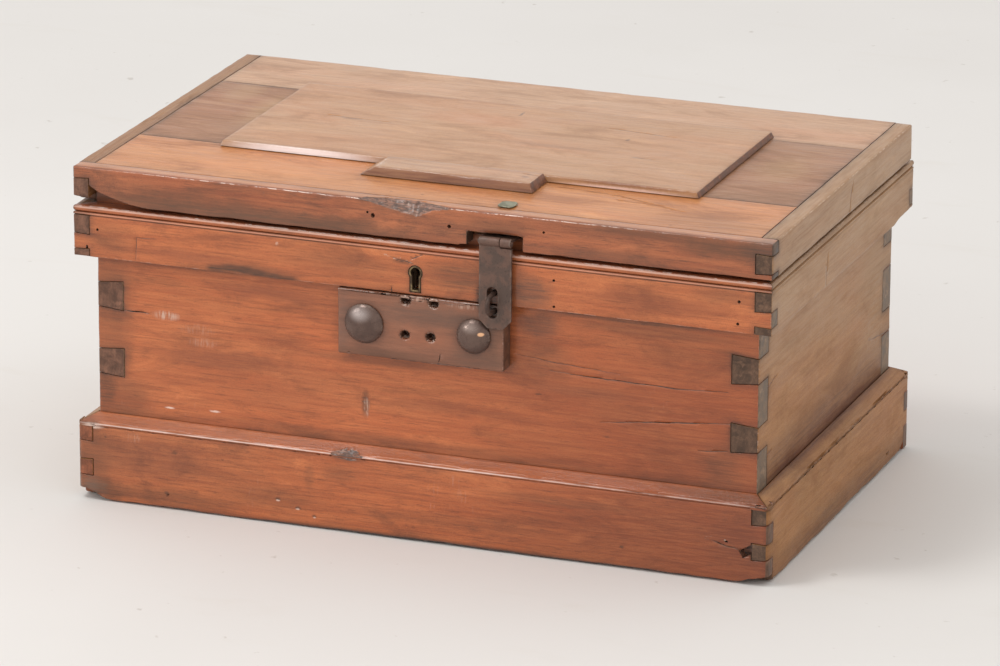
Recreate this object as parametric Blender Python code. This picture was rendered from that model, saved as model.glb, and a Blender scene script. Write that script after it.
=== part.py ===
"""Dovetailed pine money chest: case, plinth, band, framed lid, hinges, box lock and hasp.

Units are metres, +Z is up and +X runs along the chest's length. The front faces -Y.
Y values in the constants are counted from the middle of the case's depth; the whole chest
is then set back by CASE_CENTRE_Y, so that its overall box is centred on the origin.
"""

import math

import bmesh
import bpy
from mathutils import Matrix, Vector

# ---------------------------------------------------------------- driving dimensions
GAP = 0.0003                  # clearance between pieces that touch
SLACK = 0.0005                # more clearance, round ironwork that moves
OVERCUT = 0.002               # how far a cutting tool runs past the face that it cuts
CASE_CENTRE_Y = 0.0095        # middle of the case behind the middle of the overall box

CASE_HALF_LENGTH = 0.275
CASE_HALF_DEPTH = 0.168
BOARD = 0.022                 # thickness of the case boards
BOTTOM_LIFT = 0.003           # the bottom boards hang clear of the floor
BOTTOM_THICKNESS = 0.016
CASE_BASE_Z = BOTTOM_LIFT + BOTTOM_THICKNESS + GAP
CASE_TOP_Z = 0.253
CASE_PIN_PITCH = 0.0552
CASE_LOWEST_PIN_Z = 0.0576
CASE_PIN_HEIGHT = 0.020
CASE_PIN_COUNT = 4
CASE_FLARE = 0.002            # how much wider a pin is at its root, each side

PLINTH = 0.013
PLINTH_EDGE_Z = 0.064         # top of the plinth's outer face
PLINTH_TOP_Z = 0.0706         # top of its sloped edge, against the case
PLINTH_PINS = ((0.021, 0.0335), (0.0495, 0.0615))

BAND = 0.0135
BAND_BACK = 0.010
BAND_LOW_Z = 0.202
BAND_TOP_Z = 0.2438
BAND_MITRE_Z = 0.236          # the bead above this height is mitred
BAND_PINS = ((BAND_LOW_Z, 0.208), (0.221, BAND_MITRE_Z))
THIN_FLARE = 0.0008

LID_TOP_Z = 0.2755
LID_THICKNESS = 0.022
LID_UNDER_Z = LID_TOP_Z - LID_THICKNESS
LID_BACK_Y = 0.172
RIM = 0.0137
RIM_LOW_Z = 0.2455
RIM_PINS = ((0.251, 0.2655),)
STILE_FRONT_Y = -0.082        # joint between the front stile and the end boards
STILE_BACK_Y = 0.087
END_BOARD_INNER_X = 0.195
PANEL_LIP = 0.005             # how far the panel stands above the frame
PANEL_LEFT_X, PANEL_RIGHT_X = -0.203, 0.198
PANEL_FRONT_Y, PANEL_BACK_Y = -0.090, 0.095
PANEL_CORE = 0.018
BATTEN_LEFT_X, BATTEN_RIGHT_X = -0.070, 0.0735
BATTEN_FRONT_Y = -0.1235
BATTEN_HEIGHT = 0.0075
BATTEN_SLOPE = 0.003          # how far its edges lean in

LID_AXIS_Y = 0.1763
LID_AXIS_Z = 0.25325
HINGE_X = 0.170
HINGE_LENGTH = 0.060
HINGE_KNUCKLES = 5
HINGE_LEAF_INNER_Y = 0.150
HINGE_LEAF = 0.0016
HINGE_HALF_GAP = 0.00035      # half the gap between the closed leaves
KNUCKLE_R = 0.004
KNUCKLE_BORE_R = 0.0021
HINGE_PIN_R = 0.0018
HINGE_SCREW_X = 0.018
HINGE_SCREW_Y = 0.158
SCREW_HEAD_R = 0.0038
SCREW_HEAD_DEPTH = 0.0014
SCREW_R = 0.0017
SCREW_LENGTH = 0.016

HASP_AXIS_Y = -0.1863
HASP_AXIS_Z = 0.2539
HASP_LEFT_X, HASP_RIGHT_X = 0.0535, 0.0805
HASP_SPLIT_X = 0.0712         # where the strap's knuckle meets the leaf's
HASP_STRAP = 0.003
HASP_END_Z = 0.184
HASP_CORNER = 0.007
HASP_SLOT_X, HASP_SLOT_WIDTH = 0.06475, 0.0082
HASP_SLOT_LOW_Z, HASP_SLOT_TOP_Z = 0.1926, 0.2174
HASP_KNUCKLE_R = 0.0037
HASP_BORE_R = 0.0019
HASP_PIN_R = 0.0016
HASP_LEAF = 0.002
HASP_LEAF_BACK_Y = -0.130
LEAF_LIFT = 0.0002            # thin ironwork is let into the lid this far past flush
HASP_LEAF_Z = LID_UNDER_Z + LEAF_LIFT
CLENCH_X, CLENCH_Y = 0.067, -0.160
CLENCH_HALF_X, CLENCH_HALF_Y = 0.007, 0.008
CLENCH_HEAD = 0.0016
CLENCH_R = 0.0025
NOTCH_LEFT_X, NOTCH_RIGHT_X, NOTCH_TOP_Z = 0.042, 0.0868, 0.2582

STAPLE_R = 0.0021
STAPLE_LOW_Z, STAPLE_HIGH_Z = 0.1975, 0.2115
STAPLE_BEND_Y = -0.1912
STAPLE_TIP_Y = -0.150

BLOCK_LEFT_X, BLOCK_RIGHT_X = -0.065, 0.0728
BLOCK_LOW_Z, BLOCK_TOP_Z = 0.148, BAND_LOW_Z - 0.0005
BLOCK_FRONT_Y = -0.1835
BLOCK_HOLE_R, BLOCK_HOLE_DEPTH = 0.0036, 0.012
BLOCK_HOLES = ((-0.0084, 0.1972), (0.0148, 0.1972), (-0.0090, 0.1692), (0.0122, 0.1697))
DOME_BOLTS = {"left": (-0.0425, 0.175, 0.0164), "right": (0.0482, 0.175, 0.0143)}
DOME_HEIGHT = 0.007
DOME_SHANK_R = 0.004
NUT_HALF, NUT_THICKNESS = 0.007, 0.0067

KEYHOLE_X = -0.0008
KEYHOLE_BULB_Z, KEYHOLE_BULB_R = 0.2200, 0.0040
KEYHOLE_SLOT_HALF, KEYHOLE_LOW_Z = 0.0027, 0.2060
ESCUTCHEON_WALL = 0.0017
ESCUTCHEON_DEPTH = 0.006

LOCK_HALF_X, LOCK_LOW_Z, LOCK_TOP_Z = 0.042, 0.197, CASE_TOP_Z - 0.0002
LOCK_DEPTH = 0.012
LOCK_PLATE = 0.0015
LOCK_WALL = 0.0012
CAP_LEFT_X, CAP_RIGHT_X = -0.0325, 0.028
CAP_LOW_Z = LOCK_LOW_Z + 0.001
BOLT_LOW_Z, BOLT_TOP_Z = 0.2422, 0.2468
BOLT_LEFT_X, BOLT_RIGHT_X = -0.030, 0.0085
BOLT_FRONT_Y, BOLT_BACK_Y = -0.1540, -0.1508
BOLT_GUIDES_X, BOLT_GUIDE_LENGTH, BOLT_GUIDE = (-0.026, -0.004), 0.008, 0.0022
TALON = 0.0015                # thickness of the talon plate on the front of the bolt
TALON_LEFT_X, TALON_RIGHT_X, TALON_LOW_Z = -0.0115, 0.0004, 0.2325
TALON_NOTCH_LEFT_X, TALON_NOTCH_RIGHT_X, TALON_NOTCH_TOP_Z = -0.0080, -0.0030, 0.2385
EYE_LEFT_X, EYE_RIGHT_X = 0.010, 0.014
EYE_FRONT_Y, EYE_BACK_Y = -0.1562, -0.1486
EYE_LOW_Z = 0.2392
EYE_HOLE_FRONT_Y, EYE_HOLE_BACK_Y = -0.1550, -0.1498
EYE_HOLE_LOW_Z, EYE_HOLE_TOP_Z = 0.2412, 0.2478
LINK_HALF_X, LINK_FRONT_Y, LINK_BACK_Y = 0.026, -0.165, -0.128
LINK_THICKNESS = 0.0018
LOCK_SCREW_X, LOCK_SCREW_Z = 0.0372, LOCK_LOW_Z + 0.006
LINK_SCREW_X, LINK_SCREW_Y = 0.020, LINK_BACK_Y - 0.007

ROUND_STEPS = 24

# ---------------------------------------------------------------- materials
MATERIALS = {
    "stained_pine": ((0.27, 0.095, 0.045), 0.45, 0.0),
    "lid_pine": ((0.36, 0.17, 0.085), 0.40, 0.0),
    "bare_pine": ((0.42, 0.28, 0.16), 0.75, 0.0),
    "dark_block": ((0.16, 0.085, 0.055), 0.50, 0.0),
    "old_iron": ((0.10, 0.075, 0.062), 0.55, 0.8),
    "old_brass": ((0.42, 0.31, 0.14), 0.40, 0.9),
    "green_brass": ((0.30, 0.33, 0.24), 0.75, 0.3),
}


def material(name):
    """The Principled material of that name, made the first time it is asked for."""
    found = bpy.data.materials.get(name)
    if found:
        return found
    colour, roughness, metallic = MATERIALS[name]
    made = bpy.data.materials.new(name)
    made.use_nodes = True
    shader = made.node_tree.nodes["Principled BSDF"]
    shader.inputs["Base Color"].default_value = (*colour, 1.0)
    shader.inputs["Roughness"].default_value = roughness
    shader.inputs["Metallic"].default_value = metallic
    made.diffuse_color = (*colour, 1.0)
    return made


# ---------------------------------------------------------------- mesh building
def add_box(bm, low, high):
    """A box between two corners."""
    size = Vector(high) - Vector(low)
    middle = (Vector(high) + Vector(low)) / 2
    matrix = Matrix.Translation(middle) @ Matrix.Diagonal((*size, 1.0))
    bmesh.ops.create_cube(bm, size=1.0, matrix=matrix)


def add_loft(bm, ring_a, ring_b):
    """A closed solid between two outlines that have the same number of points."""
    a = [bm.verts.new(point) for point in ring_a]
    b = [bm.verts.new(point) for point in ring_b]
    count = len(a)
    bm.faces.new(a)
    bm.faces.new(list(reversed(b)))
    for i in range(count):
        j = (i + 1) % count
        bm.faces.new((a[j], a[i], b[i], b[j]))


def add_prism(bm, outline, axis, start, end):
    """An outline in the plane across an axis, extruded along it; axis is 'x', 'y' or 'z'."""
    def place(u, v, w):
        return {"x": (w, u, v), "y": (u, w, v), "z": (u, v, w)}[axis]

    add_loft(bm, [place(u, v, start) for u, v in outline], [place(u, v, end) for u, v in outline])


def add_turned(bm, profile, axis, centre, steps=ROUND_STEPS):
    """A turned solid: profile holds (radius, position along axis); a zero radius is a point."""
    def place(radius, along, angle):
        u, v = radius * math.cos(angle), radius * math.sin(angle)
        offset = {"x": (along, u, v), "y": (u, along, v), "z": (u, v, along)}[axis]
        return Vector(centre) + Vector(offset)

    rings = []
    for radius, along in profile:
        count = 1 if radius == 0 else steps
        rings.append([bm.verts.new(place(radius, along, 2 * math.pi * i / steps))
                      for i in range(count)])
    for lower, upper in zip(rings, rings[1:]):
        for i in range(steps):
            j = (i + 1) % steps
            corners = [lower[i % len(lower)], lower[j % len(lower)],
                       upper[j % len(upper)], upper[i % len(upper)]]
            bm.faces.new(list(dict.fromkeys(corners)))
    if len(rings[0]) > 1:
        bm.faces.new(rings[0])
    if len(rings[-1]) > 1:
        bm.faces.new(rings[-1])


def add_tube(bm, centre, axis, outer, inner, start, end, steps=ROUND_STEPS):
    """A straight tube with an open bore along an axis."""
    def ring(radius, along):
        made = []
        for i in range(steps):
            u = radius * math.cos(2 * math.pi * i / steps)
            v = radius * math.sin(2 * math.pi * i / steps)
            offset = {"x": (along, u, v), "y": (u, along, v), "z": (u, v, along)}[axis]
            made.append(bm.verts.new(Vector(centre) + Vector(offset)))
        return made

    rings = [ring(outer, start), ring(outer, end), ring(inner, end), ring(inner, start)]
    for k in range(4):
        lower, upper = rings[k], rings[(k + 1) % 4]
        for i in range(steps):
            j = (i + 1) % steps
            bm.faces.new((lower[i], lower[j], upper[j], upper[i]))


def finish_mesh(bm, name):
    """Clean the mesh, point its faces outwards and shade its round sides smooth."""
    bmesh.ops.remove_doubles(bm, verts=bm.verts, dist=0.000001)
    bmesh.ops.dissolve_degenerate(bm, edges=bm.edges, dist=0.000001)
    bmesh.ops.recalc_face_normals(bm, faces=bm.faces)
    mesh = bpy.data.meshes.new(name)
    bm.to_mesh(mesh)
    bm.free()
    mesh.shade_smooth()
    mesh.set_sharp_from_angle(angle=math.radians(30))
    return mesh


# ---------------------------------------------------------------- scene building
ANCHORS = {}


def add_anchor(name, at, parent=None):
    """An empty that holds pieces; `at` is counted from the middle of the case's depth."""
    empty = bpy.data.objects.new(name, None)
    bpy.context.collection.objects.link(empty)
    if parent:
        empty.parent = ANCHORS[parent][0]
        empty.location = Vector(at) - ANCHORS[parent][1]
    else:
        empty.location = Vector(at) + Vector((0, CASE_CENTRE_Y, 0))
    ANCHORS[name] = (empty, Vector(at))


def add_piece(name, bm, surface, anchor="case", origin=None):
    """A named object for one piece, with its own origin, held by an anchor."""
    empty, at = ANCHORS[anchor]
    origin = Vector(origin) if origin is not None else at.copy()
    bmesh.ops.translate(bm, verts=bm.verts, vec=-origin)
    piece = bpy.data.objects.new(name, finish_mesh(bm, name))
    bpy.context.collection.objects.link(piece)
    piece.data.materials.append(material(surface))
    piece.parent = empty
    piece.location = origin - at
    return piece


def combine(piece, name, bm, operation):
    """Cut a tool out of a piece, or join it on, with an exact Boolean."""
    owner = piece.parent
    tool = bpy.data.objects.new(name, finish_mesh(bm, name))
    bpy.context.collection.objects.link(tool)
    tool.parent = owner
    tool.location = -next(at for empty, at in ANCHORS.values() if empty == owner)
    tool.display_type = "WIRE"
    tool.hide_render = True
    modifier = piece.modifiers.new(name, "BOOLEAN")
    modifier.operation = operation
    modifier.solver = "EXACT"
    modifier.object = tool


def cut(piece, name, bm):
    combine(piece, name, bm, "DIFFERENCE")


def join(piece, name, bm):
    combine(piece, name, bm, "UNION")


# ---------------------------------------------------------------- dovetailed boards
def end_points(pins, low, tops, tails, mitre_z, full, short, flare):
    """The points up one end of a board, on its outer and on its inner face.

    pins holds the heights of the pins. A tail board is cut back where the pins are and flares
    towards its end; a pin board is the other way round, and its pins widen inwards. Above
    mitre_z, if it is given, the board meets its neighbour in a mitre.
    """
    outer, inner = [], []

    def reach(is_pin):
        return full if is_pin != tails else short

    def point(z_edge, widen, at):
        # widen is the sign in which a pin grows at its root: -1 at its foot, +1 at its top
        slack = -widen * GAP / 2 if not tails else widen * GAP / 2
        root = widen * flare
        if tails:
            z = z_edge + slack + (root if at == short else 0)
            outer.append((at, z))
            inner.append((at, z))
        else:
            outer.append((at, z_edge + slack))
            inner.append((at, z_edge + slack + root))

    starts_in_pin = bool(pins) and abs(pins[0][0] - low) < GAP
    first = reach(starts_in_pin)
    outer.append((first, low))
    inner.append((first, low))
    for foot, top in pins:
        if abs(foot - low) > GAP:
            point(foot, -1, reach(False))
            point(foot, -1, reach(True))
        if mitre_z is None or top < mitre_z - GAP:
            point(top, 1, reach(True))
            point(top, 1, reach(False))
    last = outer[-1][0]
    if mitre_z is not None:
        step = mitre_z - GAP / 2 if last == full else mitre_z + GAP / 2
        outer.append((last, step))
        inner.append((last, step))
        outer.append((full, step))
        inner.append((short, step))
        outer.append((full, tops[0]))
        inner.append((short, tops[1]))
    else:
        outer.append((last, tops[0]))
        inner.append((last, tops[1]))
    return outer, inner


def plain_end(reach, low, tops):
    return [(reach, low), (reach, tops[0])], [(reach, low), (reach, tops[1])]


def add_board(bm, right, left, faces, along, bottom=()):
    """A board from its two end outlines; faces holds the outer and inner face positions.

    along is 'x' for a board along the chest's front or back, 'y' for one along its side.
    bottom holds extra points along the lower edge, from left to right.
    """
    rings = []
    for side in (0, 1):
        outline = list(right[side])
        outline += list(reversed(left[side]))
        outline += list(bottom)
        where = faces[side]
        if along == "x":
            rings.append([(u, where, z) for u, z in outline])
        else:
            rings.append([(where, u, z) for u, z in outline])
    add_loft(bm, rings[0], rings[1])


def mirrored(ends):
    return tuple([(-u, z) for u, z in face] for face in ends)


def pin_heights():
    half = CASE_PIN_HEIGHT / 2
    middles = [CASE_LOWEST_PIN_Z + CASE_PIN_PITCH * i for i in range(CASE_PIN_COUNT)]
    return [(z - half, z + half) for z in middles]


# ---------------------------------------------------------------- keyhole outlines
def keyhole_outline(grow):
    """A round bulb over a straight slot, `grow` larger all round, going once round."""
    radius = KEYHOLE_BULB_R + grow
    half = KEYHOLE_SLOT_HALF + grow
    meet = math.asin(half / radius)
    points = [(KEYHOLE_X + half, KEYHOLE_LOW_Z - grow)]
    steps = 14
    for i in range(steps + 1):
        angle = -math.pi / 2 + meet + (2 * math.pi - 2 * meet) * i / steps
        points.append((KEYHOLE_X + radius * math.cos(angle),
                       KEYHOLE_BULB_Z + radius * math.sin(angle)))
    points.append((KEYHOLE_X - half, KEYHOLE_LOW_Z - grow))
    return points


# ---------------------------------------------------------------- the case
def make_case():
    half_x, half_y = CASE_HALF_LENGTH, CASE_HALF_DEPTH
    pins = pin_heights()
    tops = (CASE_TOP_Z, CASE_TOP_Z)
    tail_end = end_points(pins, CASE_BASE_Z, tops, True, None,
                          half_x, half_x - BOARD - GAP, CASE_FLARE)
    pin_end = end_points(pins, CASE_BASE_Z, tops, False, None,
                         half_y, half_y - BOARD - GAP, CASE_FLARE)
    boards = {}
    for name, sign in (("front_board", -1), ("back_board", 1)):
        bm = bmesh.new()
        add_board(bm, tail_end, mirrored(tail_end), (sign * half_y, sign * (half_y - BOARD)), "x")
        boards[name] = add_piece(name, bm, "stained_pine", origin=(0, sign * half_y, CASE_BASE_Z))
    for name, sign in (("left_side_board", -1), ("right_side_board", 1)):
        bm = bmesh.new()
        add_board(bm, pin_end, mirrored(pin_end), (sign * half_x, sign * (half_x - BOARD)), "y")
        boards[name] = add_piece(name, bm, "stained_pine", origin=(sign * half_x, 0, CASE_BASE_Z))
    for name, sign in (("bottom_board_front", -1), ("bottom_board_back", 1)):
        ends = sorted((sign * half_y, sign * GAP / 2))
        bm = bmesh.new()
        add_box(bm, (-half_x, ends[0], BOTTOM_LIFT),
                (half_x, ends[1], BOTTOM_LIFT + BOTTOM_THICKNESS))
        add_piece(name, bm, "bare_pine", origin=(0, sign * half_y / 2, BOTTOM_LIFT))
    return boards


def make_surround(kind, pins, low, tops, mitre_z, thick, thick_back, surface):
    """Four boards that wrap the case: a plinth or a band, dovetailed at every corner."""
    inner_x = CASE_HALF_LENGTH + GAP
    inner_y = CASE_HALF_DEPTH + GAP
    outer_x = inner_x + thick
    made = {}
    tail_end = end_points(pins, low, tops, True, mitre_z, outer_x, inner_x - GAP, THIN_FLARE)
    depths = {-1: thick, 1: thick_back}
    for name, sign in (("front", -1), ("back", 1)):
        bm = bmesh.new()
        faces = (sign * (inner_y + depths[sign]), sign * inner_y)
        add_board(bm, tail_end, mirrored(tail_end), faces, "x")
        made[name] = add_piece(kind + "_" + name, bm, surface, origin=(0, sign * inner_y, low))
    ends = {sign: end_points(pins, low, tops, False, mitre_z,
                             inner_y + depths[sign], inner_y - GAP, THIN_FLARE)
            for sign in (-1, 1)}
    for name, sign in (("left", -1), ("right", 1)):
        bm = bmesh.new()
        add_board(bm, ends[1], mirrored(ends[-1]), (sign * outer_x, sign * inner_x), "y")
        made[name] = add_piece(kind + "_" + name, bm, surface, origin=(sign * inner_x, 0, low))
    return made


# ---------------------------------------------------------------- the lid
def make_lid():
    inner_x = CASE_HALF_LENGTH + GAP
    inner_y = CASE_HALF_DEPTH + GAP
    outer_x, outer_y = inner_x + RIM, inner_y + RIM
    tops = (LID_TOP_Z, LID_TOP_Z)
    pieces = {}

    tail_end = end_points(RIM_PINS, RIM_LOW_Z, tops, True, None,
                          outer_x, inner_x - GAP, THIN_FLARE)
    notch = [(NOTCH_LEFT_X, RIM_LOW_Z), (NOTCH_LEFT_X, NOTCH_TOP_Z),
             (NOTCH_RIGHT_X, NOTCH_TOP_Z), (NOTCH_RIGHT_X, RIM_LOW_Z)]
    bm = bmesh.new()
    add_board(bm, tail_end, mirrored(tail_end), (-outer_y, -inner_y), "x", bottom=notch)
    pieces["rim_front"] = add_piece("lid_rim_front", bm, "lid_pine", "lid",
                                    origin=(0, -inner_y, RIM_LOW_Z))

    front_end = end_points(RIM_PINS, RIM_LOW_Z, tops, False, None,
                           outer_y, inner_y - GAP, THIN_FLARE)
    back_end = plain_end(LID_BACK_Y, RIM_LOW_Z, tops)
    for name, sign in (("left", -1), ("right", 1)):
        bm = bmesh.new()
        add_board(bm, back_end, mirrored(front_end), (sign * outer_x, sign * inner_x), "y")
        add_piece("lid_rim_" + name, bm, "lid_pine", "lid", origin=(sign * inner_x, 0, RIM_LOW_Z))

    frame_x = CASE_HALF_LENGTH
    boxes = {
        "lid_front_stile": ((-frame_x, -inner_y + GAP, LID_UNDER_Z),
                            (frame_x, STILE_FRONT_Y, LID_TOP_Z)),
        "lid_back_stile": ((-frame_x, STILE_BACK_Y, LID_UNDER_Z),
                           (frame_x, LID_BACK_Y, LID_TOP_Z)),
        "lid_left_end_board": ((-frame_x, STILE_FRONT_Y + GAP, LID_UNDER_Z),
                               (-END_BOARD_INNER_X - GAP, STILE_BACK_Y - GAP, LID_TOP_Z)),
        "lid_right_end_board": ((END_BOARD_INNER_X + GAP, STILE_FRONT_Y + GAP, LID_UNDER_Z),
                                (frame_x, STILE_BACK_Y - GAP, LID_TOP_Z)),
    }
    for name, (low, high) in boxes.items():
        bm = bmesh.new()
        add_box(bm, low, high)
        middle = (Vector(low) + Vector(high)) / 2
        pieces[name] = add_piece(name, bm, "lid_pine", "lid", origin=(middle.x, middle.y, low[2]))

    lip_z = LID_TOP_Z + GAP
    bm = bmesh.new()
    add_box(bm, (PANEL_LEFT_X, PANEL_FRONT_Y, lip_z),
            (PANEL_RIGHT_X, PANEL_BACK_Y, LID_TOP_Z + PANEL_LIP))
    panel = add_piece("lid_raised_panel", bm, "lid_pine", "lid", origin=(0, 0, lip_z))
    core = bmesh.new()
    add_box(core, (-END_BOARD_INNER_X, STILE_FRONT_Y + GAP, LID_TOP_Z - PANEL_CORE),
            (END_BOARD_INNER_X, STILE_BACK_Y - GAP, lip_z + PANEL_LIP / 2))
    join(panel, "panel_core", core)

    top_z = LID_TOP_Z + BATTEN_HEIGHT
    back_y = PANEL_FRONT_Y - GAP
    foot = [(BATTEN_LEFT_X, BATTEN_FRONT_Y, lip_z), (BATTEN_RIGHT_X, BATTEN_FRONT_Y, lip_z),
            (BATTEN_RIGHT_X, back_y, lip_z), (BATTEN_LEFT_X, back_y, lip_z)]
    head = [(BATTEN_LEFT_X + 4 * BATTEN_SLOPE, BATTEN_FRONT_Y + BATTEN_SLOPE, top_z),
            (BATTEN_RIGHT_X - BATTEN_SLOPE, BATTEN_FRONT_Y + BATTEN_SLOPE, top_z),
            (BATTEN_RIGHT_X - BATTEN_SLOPE, back_y, top_z),
            (BATTEN_LEFT_X + 4 * BATTEN_SLOPE, back_y, top_z)]
    bm = bmesh.new()
    add_loft(bm, foot, head)
    add_piece("lid_front_batten", bm, "lid_pine", "lid", origin=(0, back_y, lip_z))
    return pieces


# ---------------------------------------------------------------- butt hinges and screws
def leaf_outline(centre_x, own, inner_y):
    """The plan of a hinge leaf whose edge has a tooth at each of its own knuckles."""
    pitch = HINGE_LENGTH / HINGE_KNUCKLES
    start = centre_x - HINGE_LENGTH / 2
    tooth_y = LID_AXIS_Y - (KNUCKLE_BORE_R + SLACK)
    root_y = LID_AXIS_Y - KNUCKLE_R - GAP
    points = [(start, inner_y)]
    for k in range(HINGE_KNUCKLES):
        edge = tooth_y if k in own else root_y
        left = start + pitch * k + (GAP / 2 if k and k in own else -GAP / 2 if k else 0)
        last = k == HINGE_KNUCKLES - 1
        right_slack = -GAP / 2 if k in own else GAP / 2
        right = start + pitch * (k + 1) + (0 if last else right_slack)
        points += [(left, edge), (right, edge)]
    points.append((start + HINGE_LENGTH, inner_y))
    return points


def add_knuckles(bm, centre_x, own):
    pitch = HINGE_LENGTH / HINGE_KNUCKLES
    start = -HINGE_LENGTH / 2
    for k in own:
        add_tube(bm, (centre_x, LID_AXIS_Y, LID_AXIS_Z), "x", KNUCKLE_R, KNUCKLE_BORE_R,
                 start + pitch * k + GAP / 2, start + pitch * (k + 1) - GAP / 2)


def screw_profile(head_r, head_depth, shank_r, length, sign):
    """A countersunk screw from the middle of its head's face; sign is its pointing direction."""
    tip = shank_r * 1.5
    return [(0, 0), (head_r, 0), (shank_r, sign * head_depth), (shank_r, sign * (length - tip)),
            (0, sign * length)]


def add_screw(name, anchor, at, axis, sign):
    bm = bmesh.new()
    profile = screw_profile(SCREW_HEAD_R, SCREW_HEAD_DEPTH, SCREW_R, SCREW_LENGTH, sign)
    add_turned(bm, profile, axis, at, steps=16)
    add_piece(name, bm, "old_iron", anchor, origin=at)


def screw_hole(bm, at, axis, sign):
    """Clearance all round a screw, with its countersink, open above the head."""
    profile = [(SCREW_HEAD_R + GAP, -sign * 2 * OVERCUT), (SCREW_HEAD_R + GAP, sign * GAP / 2),
               (SCREW_R + GAP, sign * (SCREW_HEAD_DEPTH + GAP)),
               (SCREW_R + GAP, sign * (SCREW_LENGTH + GAP))]
    add_turned(bm, profile, axis, at, steps=16)


def pilot_hole(bm, at, axis, sign):
    """Clearance in the wood round a screw's shank."""
    add_turned(bm, [(SCREW_R + GAP, 0), (SCREW_R + GAP, sign * (SCREW_LENGTH + GAP))], axis, at,
               steps=16)


def make_hinge(side, centre_x, back_board, back_stile):
    lower_top = LID_AXIS_Z - HINGE_HALF_GAP
    upper_low = LID_AXIS_Z + HINGE_HALF_GAP
    own_lower, own_upper = (0, 2, 4), (1, 3)
    axis_point = (centre_x, LID_AXIS_Y, LID_AXIS_Z)
    screws_x = (centre_x - HINGE_SCREW_X, centre_x + HINGE_SCREW_X)

    for half, own, low, anchor, sign, face in (
            ("lower", own_lower, lower_top - HINGE_LEAF, "case", -1, lower_top),
            ("upper", own_upper, upper_low, "lid", 1, upper_low)):
        bm = bmesh.new()
        outline = leaf_outline(centre_x, own, HINGE_LEAF_INNER_Y)
        add_prism(bm, outline, "z", low, low + HINGE_LEAF)
        leaf = add_piece(f"hinge_{side}_{half}_leaf", bm, "old_iron", anchor, origin=axis_point)
        tubes = bmesh.new()
        add_knuckles(tubes, centre_x, own)
        join(leaf, f"hinge_{side}_{half}_knuckles", tubes)
        holes = bmesh.new()
        for at_x in screws_x:
            screw_hole(holes, (at_x, HINGE_SCREW_Y, face), "z", sign)
        cut(leaf, f"hinge_{side}_{half}_screw_holes", holes)
        for number, at_x in enumerate(screws_x, 1):
            at = (at_x, HINGE_SCREW_Y, face)
            add_screw(f"hinge_{side}_{half}_screw_{number}", anchor, at, "z", sign)

        wood = back_board if half == "lower" else back_stile
        recess = bmesh.new()
        ends = sorted((low + (0 if half == "lower" else HINGE_LEAF) + sign * GAP,
                       face - sign * 2 * OVERCUT))
        add_box(recess, (centre_x - HINGE_LENGTH / 2 - GAP, HINGE_LEAF_INNER_Y - GAP, ends[0]),
                (centre_x + HINGE_LENGTH / 2 + GAP, LID_AXIS_Y + 5 * OVERCUT, ends[1]))
        cut(wood, f"hinge_{side}_{half}_recess", recess)
        holes = bmesh.new()
        for at_x in screws_x:
            pilot_hole(holes, (at_x, HINGE_SCREW_Y, face), "z", sign)
        cut(wood, f"hinge_{side}_{half}_wood_holes", holes)

    bm = bmesh.new()
    half_pin = HINGE_LENGTH / 2
    add_turned(bm, [(HINGE_PIN_R, -half_pin), (HINGE_PIN_R, half_pin)], "x", axis_point, steps=16)
    add_piece(f"hinge_{side}_pin", bm, "old_iron", "case", origin=axis_point)


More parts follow.
